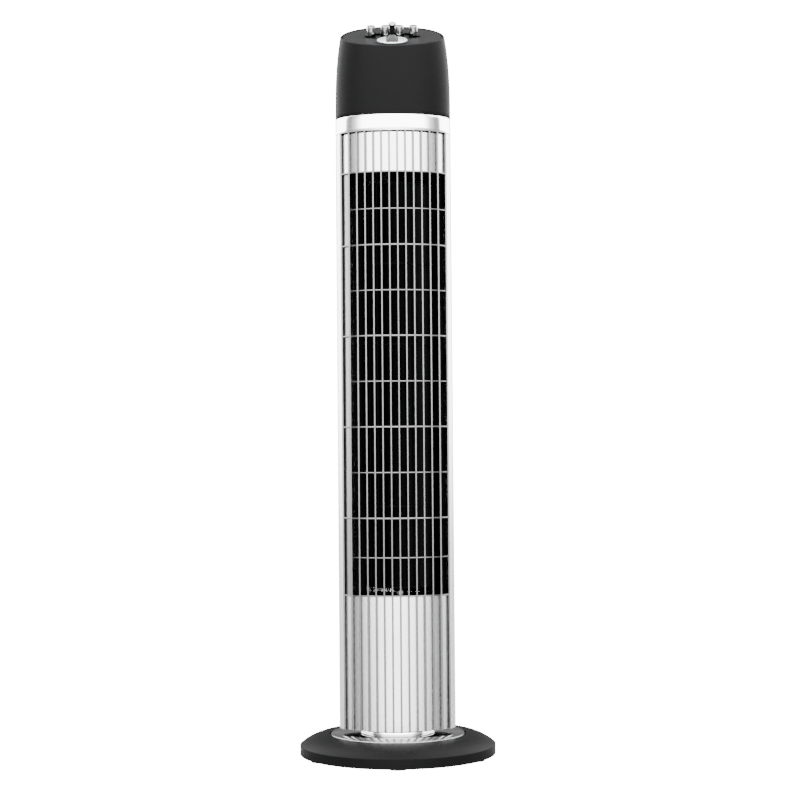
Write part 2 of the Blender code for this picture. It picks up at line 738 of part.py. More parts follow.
def add_timer(frame):
    """The timer's body under the panel, and above it the dial, the ring round it and the grip across it."""
    forward = (0, -TIMER_FORWARD)
    top = -PANEL_THICK / math.cos(PANEL_TILT) - GAP
    add_rod(
        "timer_body", TIMER_BODY_RADIUS, top - TIMER_BODY_DEPTH, top, DARK_PLASTIC,
        steps=28, centre=forward, parent=frame,
    )
    outer = DIAL_RADIUS + DIAL_RING_WIDTH
    add_ring(
        "timer_ring", outer, DIAL_RADIUS + RUNNING_GAP, GAP, DIAL_RING_TOP, PANEL_GREY,
        edge=DIAL_RING_EDGE, steps=32, centre=forward, parent=frame,
    )
    dial_top = GAP + DIAL_THICK
    profile = [
        (0, dial_top),
        (DIAL_RADIUS - DIAL_EDGE, dial_top),
        (DIAL_RADIUS, dial_top - DIAL_EDGE),
        (DIAL_RADIUS, GAP),
        (TIMER_STEM_RADIUS, GAP),
        (TIMER_STEM_RADIUS, top + GAP),
        (0, top + GAP),
    ]
    add_turned("timer_dial", profile, WHITE, steps=32, centre=forward, parent=frame, closed=False)
    bm = bmesh.new()
    bmesh.ops.create_cube(bm, size=1)
    for vertex in bm.verts:
        crown = vertex.co.z > 0
        across = GRIP_CROWN if crown else GRIP_BASE
        along = GRIP_CROWN_LENGTH if crown else GRIP_LENGTH
        vertex.co = (vertex.co.x * across, vertex.co.y * along, GRIP_HEIGHT if crown else 0)
    grip = finish_mesh(bm, "timer_grip", SILVER, frame)
    grip.location = (0, -TIMER_FORWARD, dial_top + GAP)
    bevel = grip.modifiers.new("edges", "BEVEL")
    bevel.width = GRIP_EDGE
    bevel.segments = 2


def add_ring_and_lid():
    """The bright band between the column and the cap, and the lid that closes the column inside it."""
    add_outline("upper_ring", [oval(), oval(RING_WALL)], RING_BOTTOM, RING_TOP, BRIGHT)
    lid_top = RING_BOTTOM + PLATE_THICK
    hole = circle(WIRE_HOLE, (0, WIRE_HOLE), 24)
    add_outline("column_lid", [oval(RING_WALL + GAP), hole], RING_BOTTOM, lid_top, DARK_PLASTIC)


# Air path
def impeller_centre():
    return (IMPELLER_X, IMPELLER_Y)


def add_duct():
    """The scroll wraps the right and the back of the impeller, and the tongue closes the left."""
    centre = Vector(impeller_centre())
    near = IMPELLER_RADIUS + DUCT_CLEARANCE
    far = near + SCROLL_GROWTH

    def polar(turn, radius):
        return centre + Vector((math.cos(turn), math.sin(turn))) * radius

    path = []
    steps = 12
    for step in range(steps + 1):
        share = step / steps
        path.append(polar(SCROLL_START - SCROLL_SWEEP * share, near + (far - near) * share))
    inset = INNER_INSET + DUCT_FRONT_INSET
    window_right = SLOT_COUNT * RIB_PITCH / 2 - RIB_WIDTH
    path.append(Vector(wall_point(front_turn(window_right), inset)))
    add_strip("air_scroll", path)
    window_left = -(SLOT_COUNT / 2 - 1) * RIB_PITCH
    tongue = [
        Vector(wall_point(front_turn(window_left), inset)),
        polar(math.radians(207), near + 0.006),
        polar(math.radians(201), near + 0.0015),
        polar(math.radians(190), near + 0.0015),
        polar(math.radians(178), near + 0.005),
    ]
    add_strip("air_tongue", tongue)


def add_strip(name, path):
    """An upright sheet of the duct's thickness along the path, as high as the window."""
    low = FLOOR_PLATE_TOP + GAP
    high = BEARING_PLATE_BOTTOM - GAP
    sides = ([], [])
    for index, point in enumerate(path):
        before = path[max(index - 1, 0)]
        after = path[min(index + 1, len(path) - 1)]
        along = (after - before).normalized()
        square = Vector((-along.y, along.x)) * DUCT_WALL / 2
        sides[0].append(tuple(point + square))
        sides[1].append(tuple(point - square))
    add_outline(name, [sides[0] + sides[1][::-1]], low, high, DARK_PLASTIC)


def add_impeller():
    centre = impeller_centre()
    pitch = (IMPELLER_HEIGHT - DISC_THICK) / IMPELLER_SEGMENTS
    inner = IMPELLER_RADIUS - BLADE_DEPTH - BLADE_THICK * 1.5
    bm = bmesh.new()
    blade_middle = IMPELLER_RADIUS - BLADE_DEPTH / 2 - BLADE_THICK * 0.6
    for blade in range(IMPELLER_BLADES):
        made = bmesh.ops.create_cube(bm, size=1)["verts"]
        bmesh.ops.scale(bm, vec=(BLADE_DEPTH, BLADE_THICK, IMPELLER_HEIGHT - DISC_THICK), verts=made)
        bmesh.ops.rotate(bm, cent=(0, 0, 0), matrix=Matrix.Rotation(BLADE_PITCH, 3, "Z"), verts=made)
        bmesh.ops.translate(bm, vec=(blade_middle, 0, IMPELLER_BOTTOM + IMPELLER_HEIGHT / 2), verts=made)
        turn = Matrix.Rotation(2 * math.pi * blade / IMPELLER_BLADES, 3, "Z")
        bmesh.ops.rotate(bm, cent=(0, 0, 0), matrix=turn, verts=made)
    blades = finish_mesh(bm, "blade_cutter")
    blades.location = (*centre, 0)
    floor_level = IMPELLER_BOTTOM
    hub = SHAFT_RADIUS + RUNNING_GAP
    profile = [
        (IMPELLER_RADIUS, floor_level + DISC_THICK),
        (IMPELLER_RADIUS, floor_level),
        (hub + HUB_RIM, floor_level),
        (hub + HUB_RIM, floor_level - HUB_RIM),
        (hub, floor_level - HUB_RIM),
        (hub, floor_level + DISC_THICK),
    ]
    impeller = add_turned("impeller", profile, DARK_PLASTIC, steps=24, centre=centre)
    discs = []
    for step in range(1, IMPELLER_SEGMENTS):
        low = IMPELLER_BOTTOM + step * pitch
        disc = add_ring("disc_cutter", IMPELLER_RADIUS, inner, low, low + DISC_THICK, steps=24, centre=centre)
        discs.append(disc)
    top = IMPELLER_TOP - DISC_THICK
    bore = STUB_RADIUS + RUNNING_GAP
    discs.append(add_ring("disc_cutter", IMPELLER_RADIUS, bore, top, IMPELLER_TOP, steps=24, centre=centre))
    add_boolean(impeller, blades, "UNION")
    for disc in discs:
        add_boolean(impeller, disc, "UNION")


def add_rotor_and_bearings():
    centre = impeller_centre()
    core_bottom = STATOR_BOTTOM + CORE_INSET
    core_top = STATOR_TOP - CORE_INSET
    foot = MOTOR_PLATE_TOP + GAP + MOTOR_STAND
    tip = IMPELLER_BOTTOM + DISC_THICK
    profile = [
        (0, tip),
        (SHAFT_RADIUS, tip),
        (SHAFT_RADIUS, core_top),
        (ROTOR_RADIUS, core_top),
        (ROTOR_RADIUS, core_bottom),
        (SHAFT_RADIUS, core_bottom),
        (SHAFT_RADIUS, foot),
        (0, foot),
    ]
    add_turned("motor_rotor", profile, STEEL, steps=24, centre=centre, closed=False)
    stub_top = BEARING_PLATE_TOP + SHAFT_END
    add_rod("stub_shaft", STUB_RADIUS, IMPELLER_TOP - 2 * SHAFT_END, stub_top, STEEL, steps=20, centre=centre)
    collar = BUSH_RADIUS + BUSH_LIP
    lip = GAP + BUSH_LIP_THICK
    bush = [
        (BUSH_RADIUS, BEARING_PLATE_TOP + GAP),
        (BUSH_RADIUS, BEARING_PLATE_BOTTOM - GAP),
        (collar, BEARING_PLATE_BOTTOM - GAP),
        (collar, BEARING_PLATE_BOTTOM - lip),
        (STUB_RADIUS + RUNNING_GAP, BEARING_PLATE_BOTTOM - lip),
        (STUB_RADIUS + RUNNING_GAP, BEARING_PLATE_TOP + lip),
        (collar, BEARING_PLATE_TOP + lip),
        (collar, BEARING_PLATE_TOP + GAP),
    ]
    add_turned("bearing_bush", bush, RUBBER, steps=16, centre=centre)


def add_plates():
    """The plates across the column that carry the upper bearing, the duct and the motor."""
    centre = impeller_centre()
    bush_hole = circle(BUSH_RADIUS + GAP, centre, 24)
    add_oval_plate("bearing_plate", BEARING_PLATE_BOTTOM, BEARING_PLATE_TOP, DARK_PLASTIC, [bush_hole])
    hub_hole = circle(SHAFT_RADIUS + 1.5 * HUB_RIM, centre, 24)
    add_oval_plate("duct_floor", FLOOR_PLATE_BOTTOM, FLOOR_PLATE_TOP, DARK_PLASTIC, [hub_hole])
    wire_hole = circle(GLAND_RADIUS, (-HALF_WIDTH * 0.62, 0), 16)
    add_oval_plate("motor_plate", MOTOR_PLATE_BOTTOM, MOTOR_PLATE_TOP, STEEL, [wire_hole])


def add_motor():
    """The stator between its two end shields, and the run capacitor beside them."""
    centre = impeller_centre()
    bore = SHAFT_RADIUS + RUNNING_GAP
    stand = MOTOR_PLATE_TOP + GAP
    foot = stand + MOTOR_STAND
    cup = MOTOR_RADIUS - SHIELD_WALL
    lower = [
        (MOTOR_RADIUS, LOWER_SHIELD_TOP),
        (MOTOR_RADIUS, foot),
        (MOTOR_RADIUS * 0.6, foot),
        (MOTOR_RADIUS * 0.6, stand),
        (bore, stand),
        (bore, foot + SHIELD_WALL),
        (cup, foot + SHIELD_WALL),
        (cup, LOWER_SHIELD_TOP),
    ]
    add_turned("motor_lower_shield", lower, STEEL, steps=24, centre=centre)
    rotor_gap = ROTOR_RADIUS + RUNNING_GAP
    add_ring(
        "motor_stator", MOTOR_RADIUS - 0.001, rotor_gap, STATOR_BOTTOM, STATOR_TOP, IRON,
        steps=24, centre=centre,
    )
    top = UPPER_SHIELD_BOTTOM + SHIELD_HEIGHT
    upper = [
        (MOTOR_RADIUS * 0.45, top + 0.003),
        (MOTOR_RADIUS * 0.5, top),
        (MOTOR_RADIUS, top - 0.003),
        (MOTOR_RADIUS, UPPER_SHIELD_BOTTOM),
        (cup, UPPER_SHIELD_BOTTOM),
        (cup, top - 0.005),
        (bore, top - 0.003),
        (bore, top + 0.003),
    ]
    add_turned("motor_upper_shield", upper, STEEL, steps=24, centre=centre)
    low = MOTOR_PLATE_TOP + GAP
    corner = Vector((-HALF_WIDTH * 0.80, CAPACITOR_BACK, low))
    add_box("motor_capacitor", corner, corner + Vector(CAPACITOR_SIZE), DARK_PLASTIC)


# Swing drive and swivel
def crank_centre():
    return (0, CRANK_DISTANCE)


def add_swing_drive():
    """The swing motor in the column, and the crank on its shaft with the pin that runs in the yoke."""
    centre = crank_centre()
    add_rod(
        "swing_motor", DRIVE_MOTOR_RADIUS, DRIVE_MOTOR_BOTTOM, DRIVE_MOTOR_TOP, STEEL, steps=32, centre=centre
    )
    high = DRIVE_MOTOR_BOTTOM - GAP
    profile = [
        (0, high),
        (CRANK_HUB_RADIUS, high),
        (CRANK_HUB_RADIUS, CRANK_TOP),
        (CRANK_DISC_RADIUS, CRANK_TOP),
        (CRANK_DISC_RADIUS, CRANK_BOTTOM),
        (0, CRANK_BOTTOM),
    ]
    crank = add_turned("swing_crank", profile, NATURAL, steps=28, centre=centre, closed=False)
    pin = add_rod(
        "pin_cutter", CRANK_PIN_RADIUS, YOKE_BOTTOM + GAP, CRANK_BOTTOM + GAP,
        steps=16, centre=(0, CRANK_DISTANCE + CRANK_THROW),
    )
    add_boolean(crank, pin, "UNION")


def stadium(first, last, radius, count=12):
    """A slot outline along Y, with round ends about its first and last centres."""
    turns = [math.pi * step / count for step in range(count + 1)]
    far = [(radius * math.cos(turn), last + radius * math.sin(turn)) for turn in turns]
    near = [(-radius * math.cos(turn), first - radius * math.sin(turn)) for turn in turns]
    return far + near


def add_swing_yoke():
    """A slotted arm on top of the post. The crank's pin runs in the slot."""
    slot_radius = CRANK_PIN_RADIUS + SLOT_CLEARANCE
    far = CRANK_DISTANCE + CRANK_THROW + SLOT_CLEARANCE
    near = CRANK_DISTANCE - CRANK_THROW - SLOT_CLEARANCE
    outline = stadium(0, far, slot_radius + YOKE_RIM)
    slot = stadium(near, far, slot_radius)
    add_outline("swing_yoke", [outline, slot], YOKE_BOTTOM, YOKE_TOP, NATURAL)


def add_swivel():
    """The post on the base, and on it the washer, the column's hub and the ring that keeps it down."""
    post = [
        (POST_RADIUS, POST_TOP),
        (POST_RADIUS, FLANGE_TOP),
        (POST_FLANGE_RADIUS, FLANGE_TOP),
        (POST_FLANGE_RADIUS, FLANGE_BOTTOM),
        (POST_BORE, FLANGE_BOTTOM),
        (POST_BORE, POST_TOP),
    ]
    add_turned("swivel_post", post, NATURAL, steps=28)
    bore = POST_RADIUS + RUNNING_GAP
    add_ring("slip_washer", POST_FLANGE_RADIUS, bore, WASHER_BOTTOM, WASHER_TOP, NATURAL, steps=28)
    add_ring(
        "post_retainer", POST_RADIUS + RETAINER_WIDTH, bore, RETAINER_BOTTOM, RETAINER_TOP, STEEL, steps=28
    )
    add_ring(
        "neck_collar", NECK_RADIUS, NECK_RADIUS - NECK_WALL, NECK_BOTTOM, NECK_TOP, BRIGHT,
        edge=NECK_EDGE, steps=40,
    )
    plate = add_oval_plate(
        "column_floor", COLUMN_BOTTOM, COLUMN_BOTTOM + PLATE_THICK, DARK_PLASTIC, [circle(bore, count=28)]
    )
    hub = add_ring("hub_cutter", HUB_RADIUS, bore, HUB_BOTTOM, HUB_TOP, steps=28)
    add_boolean(plate, hub, "UNION")


# Base
def dome_profile(drop, outer, count=5):
    """The arc from the top of the dome out to the rim, lowered and narrowed for the inside."""
    points = []
    for step in range(count + 1):
        slope = DOME_EDGE_SLOPE * step / count
        reach = math.sin(slope) / math.sin(DOME_EDGE_SLOPE)
        fall = (1 - math.cos(slope)) / (1 - math.cos(DOME_EDGE_SLOPE))
        points.append((DOME_RADIUS + (outer - DOME_RADIUS) * reach, DOME_TOP - drop - BASE_RISE * fall))
    return points


def add_base():
    """The domed cover with the bright disc let into it, the plate and weight under it, and the feet."""
    outside = dome_profile(0, BASE_RADIUS)
    inside = dome_profile(BASE_WALL, BASE_RADIUS - BASE_WALL)
    recess = DISC_RADIUS + DISC_GROOVE
    bore = POST_BORE
    under_seat = SEAT_LEVEL - BASE_WALL
    profile = (
        outside
        + [(BASE_RADIUS, RIM_BOTTOM), (BASE_RADIUS - BASE_WALL, RIM_BOTTOM)]
        + inside[::-1]
        + [(recess - BASE_WALL * 2, under_seat), (bore, under_seat), (bore, SEAT_LEVEL)]
        + [(recess, SEAT_LEVEL), (recess, DOME_TOP)]
    )
    add_turned("base_cover", profile, BLACK, steps=48)
    seat = SEAT_LEVEL + GAP
    trim = [
        (DISC_RADIUS - TRIM_EDGE, TRIM_TOP),
        (DISC_RADIUS, TRIM_TOP - TRIM_EDGE),
        (DISC_RADIUS, seat),
        (bore, seat),
        (bore, TRIM_TOP),
    ]
    add_turned("base_trim", trim, BRIGHT, steps=48)
    plate_top = RIM_BOTTOM + BASE_PLATE_THICK
    plate_radius = BASE_RADIUS - BASE_WALL - GAP
    places = circle(BASE_SCREW_CIRCLE, count=BASE_SCREW_COUNT)
    holes = [circle(SCREW_SHANK_RADIUS + GAP, place, 16) for place in places]
    add_outline("base_plate", [circle(plate_radius, count=48), *holes], RIM_BOTTOM, plate_top, DARK_PLASTIC)
    weight_low = plate_top + GAP
    add_ring(
        "base_weight", BASE_RADIUS - WEIGHT_INSET, BASE_SCREW_CIRCLE + WEIGHT_CLEARANCE,
        weight_low, weight_low + WEIGHT_THICK, IRON, steps=36,
    )
    foot_circle = BASE_RADIUS - FOOT_RADIUS - FOOT_INSET
    for number in range(FOOT_COUNT):
        turn = -math.pi / 2 + 2 * math.pi * number / FOOT_COUNT
        centre = (foot_circle * math.cos(turn), foot_circle * math.sin(turn))
        add_rod(f"rubber_foot_{number + 1}", FOOT_RADIUS, 0, FOOT_HEIGHT, RUBBER, steps=16, centre=centre)
    tip = SEAT_LEVEL - BASE_WALL - GAP
    for number, place in enumerate(places, 1):
        screw = [
            (0, tip),
            (SCREW_SHANK_RADIUS, tip - 0.001),
            (SCREW_SHANK_RADIUS, FOOT_HEIGHT),
            (SCREW_HEAD_RADIUS, FOOT_HEIGHT),
            (SCREW_HEAD_RADIUS * 0.8, FOOT_HEIGHT - 0.0005),
            (0, FOOT_HEIGHT - 0.0005),
        ]
        add_turned(f"base_screw_{number}", screw, STEEL, steps=12, centre=place, closed=False)


def build():
    add_base()
    add_swivel()
    add_swing_yoke()
    add_swing_drive()
    add_motor()
    add_plates()
    add_rotor_and_bearings()
    add_impeller()
    add_duct()
    add_front_grille()
    add_front_blanks()
    add_rear_housing()
    add_housing_screws()
    add_cord_gland()
    add_carry_handle()
    add_ring_and_lid()
    add_top_cap()
    frame = panel_frame()
    add_control_panel(frame)
    add_buttons(frame)
    add_swing_knob(frame)
    add_switches(frame)
    add_timer(frame)


build()
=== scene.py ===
"""Looks of the tower fan: its finished shells, grille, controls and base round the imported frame."""

import math

import bpy
from mathutils import Matrix, Vector


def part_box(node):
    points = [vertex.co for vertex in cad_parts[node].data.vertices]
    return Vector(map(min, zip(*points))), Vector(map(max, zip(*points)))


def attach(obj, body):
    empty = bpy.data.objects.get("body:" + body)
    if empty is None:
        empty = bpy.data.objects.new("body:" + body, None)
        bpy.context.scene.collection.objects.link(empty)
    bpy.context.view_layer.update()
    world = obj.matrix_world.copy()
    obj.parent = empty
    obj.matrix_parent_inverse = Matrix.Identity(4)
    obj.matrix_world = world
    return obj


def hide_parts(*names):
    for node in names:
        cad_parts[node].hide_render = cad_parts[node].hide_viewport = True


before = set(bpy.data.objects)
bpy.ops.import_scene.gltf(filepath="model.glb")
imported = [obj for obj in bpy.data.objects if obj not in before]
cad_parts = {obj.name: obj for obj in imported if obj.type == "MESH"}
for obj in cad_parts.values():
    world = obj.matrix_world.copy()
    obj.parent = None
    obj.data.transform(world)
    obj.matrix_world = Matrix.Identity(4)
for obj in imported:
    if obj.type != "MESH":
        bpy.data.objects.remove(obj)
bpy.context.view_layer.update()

MM = 0.001


# ---------------------------------------------------------------- places taken from the frame
def low(node):
    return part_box(node)[0]


def high(node):
    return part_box(node)[1]


HALF_WIDTH = high("upper_ring").x
FRONT_DEPTH = -low("upper_ring").y
REAR_DEPTH = high("upper_ring").y
COLUMN_BOTTOM = low("front_grille").z
COLUMN_TOP = high("front_grille").z
WINDOW_BOTTOM = high("lower_blank").z
WINDOW_TOP = low("upper_blank").z
RING_BOTTOM = low("upper_ring").z
RING_TOP = high("upper_ring").z
CAP_BOTTOM = low("top_cap").z
GRILLE_HALF = high("front_grille").x
WALL = 2.2 * MM
GAP = 0.3 * MM
LOOP_MERGE = 0.002 * MM
SPIN_MERGE = 0.004 * MM

SLOTS = 13
RIB_WIDTH = 1.7 * MM
NODE_RIB_WIDTH = 1.8 * MM
RIB_PITCH = (2 * GRILLE_HALF - NODE_RIB_WIDTH) / SLOTS

PANEL_TILT = math.radians(26.2)
PANEL_LEVEL = CAP_BOTTOM + 86.8 * MM
PANEL_SINK = 0.6 * MM
CAP_TAPER = 5.2 * MM
CAP_TAPER_POWER = 2.8


# ---------------------------------------------------------------- modelling helpers
def begin():
    """Leaves edit mode and selects nothing, so that the next operator acts on the new piece only."""
    if bpy.context.mode != "OBJECT":
        bpy.ops.object.mode_set(mode="OBJECT")
    bpy.ops.object.select_all(action="DESELECT")


def pick(*objects):
    begin()
    for obj in objects:
        obj.select_set(True)
    bpy.context.view_layer.objects.active = objects[0]


def edit(obj, kind="VERT"):
    pick(obj)
    bpy.ops.object.mode_set(mode="EDIT")
    bpy.ops.mesh.select_mode(type=kind)


def select_where(obj, test, kind="FACE"):
    """Selects the faces, edges or vertices of obj whose middle passes the test, and stays in edit mode."""
    edit(obj, kind)
    bpy.ops.mesh.select_all(action="DESELECT")
    bpy.ops.object.mode_set(mode="OBJECT")
    mesh = obj.data
    if kind == "FACE":
        for face in mesh.polygons:
            face.select = test(face.center, face.normal)
    elif kind == "EDGE":
        for line in mesh.edges:
            ends = [mesh.vertices[index].co for index in line.vertices]
            line.select = test((ends[0] + ends[1]) / 2, ends[1] - ends[0])
    else:
        for vertex in mesh.vertices:
            vertex.select = test(vertex.co, vertex.normal)
    bpy.ops.object.mode_set(mode="EDIT")


def apply_all(obj):
    pick(obj)
    for modifier in list(obj.modifiers):
        bpy.ops.object.modifier_apply(modifier=modifier.name)


def settle(obj):
    """Puts the object's place into its mesh, so that it sits at the origin, unturned and unscaled."""
    pick(obj)
    bpy.ops.object.transform_apply(location=True, rotation=True, scale=True)


def outward(obj):
    edit(obj)
    bpy.ops.mesh.select_all(action="SELECT")
    bpy.ops.mesh.normals_make_consistent(inside=False)
    begin()


def weld(obj):
    """Merges the points that lie on each other and turns the faces outward."""
    edit(obj)
    bpy.ops.mesh.select_all(action="SELECT")
    bpy.ops.mesh.remove_doubles(threshold=LOOP_MERGE)
    begin()
    outward(obj)


def smooth(obj, angle):
    pick(obj)
    bpy.ops.object.shade_smooth_by_angle(angle=math.radians(angle))


def bevel(obj, width, angle):
    """Rounds every edge sharper than the angle."""
    modifier = obj.modifiers.new("edges", "BEVEL")
    modifier.width = width
    modifier.segments = 2
    modifier.limit_method = "ANGLE"
    modifier.angle_limit = math.radians(angle)
    modifier.harden_normals = False
    apply_all(obj)


def thicken(obj, thickness, offset=-1.0):
    modifier = obj.modifiers.new("wall", "SOLIDIFY")
    modifier.thickness = thickness
    modifier.offset = offset
    modifier.use_even_offset = True
    apply_all(obj)


def done(obj, name, material, body, slot, *nodes):
    """Names a finished piece, gives it its material and body, and says which nodes it stands for."""
    begin()
    obj.name = name
    obj.data.name = name
    obj.data.materials.clear()
    obj.data.materials.append(material)
    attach(obj, body)
    if nodes:
        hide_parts(*nodes)


def join(pieces):
    pick(*pieces)
    bpy.ops.object.join()
    return bpy.context.view_layer.objects.active


def lathe(profile, steps, centre=(0, 0), closed=False):
    """Spins the (radius, height) profile round the upright axis through centre, a closed one into a ring."""
    begin()
    bpy.ops.mesh.primitive_circle_add(vertices=max(len(profile), 3), radius=1, fill_type="NOTHING")
    obj = bpy.context.object
    for vertex, (radius, level) in zip(obj.data.vertices, profile):
        vertex.co = (radius, 0, level)
    if not closed:
        last = len(profile) - 1
        select_where(obj, lambda middle, line: False, "EDGE")
        bpy.ops.object.mode_set(mode="OBJECT")
        for line in obj.data.edges:
            line.select = set(line.vertices) == {0, last}
        bpy.ops.object.mode_set(mode="EDIT")
        bpy.ops.mesh.delete(type="EDGE")
    edit(obj)
    bpy.ops.mesh.select_all(action="SELECT")
    bpy.ops.mesh.spin(steps=steps, angle=2 * math.pi, center=(0, 0, 0), axis=(0, 0, 1))
    bpy.ops.mesh.select_all(action="SELECT")
    bpy.ops.mesh.remove_doubles(threshold=SPIN_MERGE)
    bpy.ops.mesh.normals_make_consistent(inside=False)
    begin()
    obj.location = (*centre, 0)
    settle(obj)
    return obj


def wall_point(turn, inset, scale=1.0):
    """The point of the column's oval at this turn, moved square to the wall by the inset."""
    depth = REAR_DEPTH if math.sin(turn) > 0 else FRONT_DEPTH
    across, along = HALF_WIDTH * scale, depth * scale
    square = Vector((math.cos(turn) / across, math.sin(turn) / along)).normalized()
    return Vector((across * math.cos(turn), along * math.sin(turn))) - square * inset


def oval_ring(inset, level, steps):
    """A closed loop of edges along the column's oval, shaped from one circle."""
    begin()
    bpy.ops.mesh.primitive_circle_add(vertices=steps, radius=1, location=(0, 0, 0))
    obj = bpy.context.object
    for vertex in obj.data.vertices:
        turn = math.atan2(vertex.co.y, vertex.co.x)
        vertex.co = (*wall_point(turn, inset), level)
    return obj


def keep_part(obj, test):
    """Deletes the vertices of obj that fail the test."""
    select_where(obj, lambda place, normal: not test(place), "VERT")
    bpy.ops.mesh.delete(type="VERT")
    begin()


def cut_at(obj, axis, value, clear_low=False, clear_high=False):
    """Cuts the mesh square to the axis (0 for x, 1 for y, 2 for z), and clears the low or the high side."""
    normal = [0, 0, 0]
    normal[axis] = 1
    place = [0, 0, 0]
    place[axis] = value
    edit(obj)
    bpy.ops.mesh.select_all(action="SELECT")
    bpy.ops.mesh.bisect(plane_co=place, plane_no=normal, clear_inner=clear_low, clear_outer=clear_high)
    begin()


def raise_wall(obj, levels):
    """Extrudes the loop upward through the given levels."""
    edit(obj)
    bpy.ops.mesh.select_all(action="SELECT")
    for before, after in zip(levels, levels[1:]):
        bpy.ops.mesh.extrude_region_move(TRANSFORM_OT_translate={"value": (0, 0, after - before)})
    begin()


def front_arc(inset, left, right, level, steps):
    """The front stretch of the oval between two sides, cut off exactly at them."""
    obj = oval_ring(inset, level, steps)
    keep_part(obj, lambda place: place.y < 0.0005)
    cut_at(obj, 0, right, clear_high=True)
    cut_at(obj, 0, left, clear_low=True)
    return obj


# ---------------------------------------------------------------- materials
SLOW_SCALE = 22.0
SLOW_DETAIL = 4.0
FINE_DETAIL = 2.0
CLOUD_LOW, CLOUD_HIGH = 0.3, 0.7
COAT_ROUGHNESS = 0.08
RELIEF_DISTANCE = 0.05 * MM


def node_tree(name):
    material = bpy.data.materials.new(name)
    material.use_nodes = True
    tree = material.node_tree
    return material, tree, tree.nodes["Principled BSDF"]


def noise(tree, scale, detail, stretch=(1, 1, 1)):
    """A cloud pattern that stays fixed to the piece."""
    place = tree.nodes.new("ShaderNodeTexCoord")
    mapping = tree.nodes.new("ShaderNodeMapping")
    mapping.inputs["Scale"].default_value = stretch
    cloud = tree.nodes.new("ShaderNodeTexNoise")
    cloud.inputs["Scale"].default_value = scale
    cloud.inputs["Detail"].default_value = detail
    tree.links.new(place.outputs["Object"], mapping.inputs["Vector"])
    tree.links.new(mapping.outputs["Vector"], cloud.inputs["Vector"])
    return cloud.outputs["Fac"]


def spread_value(tree, source, first, last):
    ramp = tree.nodes.new("ShaderNodeMapRange")
    ramp.inputs["From Min"].default_value = CLOUD_LOW
    ramp.inputs["From Max"].default_value = CLOUD_HIGH
    ramp.inputs["To Min"].default_value = first
    ramp.inputs["To Max"].default_value = last
    tree.links.new(source, ramp.inputs["Value"])
    return ramp.outputs["Result"]


def mixed_colour(tree, source, first, last):
    ramp = tree.nodes.new("ShaderNodeValToRGB")
    ramp.color_ramp.elements[0].position = CLOUD_LOW
    ramp.color_ramp.elements[1].position = CLOUD_HIGH
    ramp.color_ramp.elements[0].color = (*first, 1)
    ramp.color_ramp.elements[1].color = (*last, 1)
    tree.links.new(source, ramp.inputs["Fac"])
    return ramp.outputs["Color"]


def bump(tree, shader, source, strength):
    relief = tree.nodes.new("ShaderNodeBump")
    relief.inputs["Strength"].default_value = strength
    relief.inputs["Distance"].default_value = RELIEF_DISTANCE
    tree.links.new(source, relief.inputs["Height"])
    tree.links.new(relief.outputs["Normal"], shader.inputs["Normal"])


def surface(
    name, colour, roughness, vary, rough_vary, grain, relief, metallic=0.0, stretch=(1, 1, 1), coat=0.0,
    specular=0.5,
):
    """A moulded, painted or metal surface: slow changes of tone, and a fine grain in gloss and height."""
    material, tree, shader = node_tree(name)
    shader.inputs["Metallic"].default_value = metallic
    shader.inputs["Specular IOR Level"].default_value = specular
    if coat:
        shader.inputs["Coat Weight"].default_value = coat
        shader.inputs["Coat Roughness"].default_value = COAT_ROUGHNESS
    slow = noise(tree, SLOW_SCALE, SLOW_DETAIL)
    fine = noise(tree, grain, FINE_DETAIL, stretch)
    dark = tuple(part * (1 - vary) for part in colour)
    light = tuple(min(part * (1 + vary), 1.0) for part in colour)
    tree.links.new(mixed_colour(tree, slow, dark, light), shader.inputs["Base Color"])
    gloss = spread_value(tree, fine, roughness - rough_vary, roughness + rough_vary)
    tree.links.new(gloss, shader.inputs["Roughness"])
    bump(tree, shader, fine, relief)
    return material


SATIN_SILVER = surface(
    "satin_silver_paint", (0.62, 0.62, 0.625), roughness=0.25, metallic=0.985, vary=0.02,
    rough_vary=0.03, grain=2600.0, relief=0.10,
)
# Painted shade: the closed slot's strip is the same silver plastic as the plates, coloured about three times
# darker to stand in for the shading on its curved face.
STRIP_SILVER_PAINTED_SHADE = surface(
    "strip_silver_painted_shade", (0.20, 0.20, 0.203), roughness=0.30, metallic=0.985, vary=0.02,
    rough_vary=0.03, grain=2600.0, relief=0.10,
)
# Painted shade: the ribs are the same silver plastic as the plates, coloured several times darker so that
# they look as dim as ribs in shade beside the bright plates.
RIB_SILVER_PAINTED_SHADE = surface(
    "rib_silver_painted_shade", (0.13, 0.13, 0.132), roughness=0.27, metallic=0.95, vary=0.02, rough_vary=0.03,
    grain=2600.0, relief=0.08,
)
BRIGHT_SILVER = surface(
    "bright_silver", (0.90, 0.90, 0.905), roughness=0.13, metallic=1.0, vary=0.015, rough_vary=0.03,
    grain=900.0, relief=0.03,
)
# Painted shade: the buttons and the swing knob are bright silver, coloured much darker here so that their
# reflections come out as dimmer bands with stronger contrast.
CHROME_PAINTED_SHADE = surface(
    "button_chrome_painted_shade", (0.24, 0.24, 0.243), roughness=0.10, metallic=1.0, vary=0.02, rough_vary=0.02,
    grain=1500.0, relief=0.02,
)
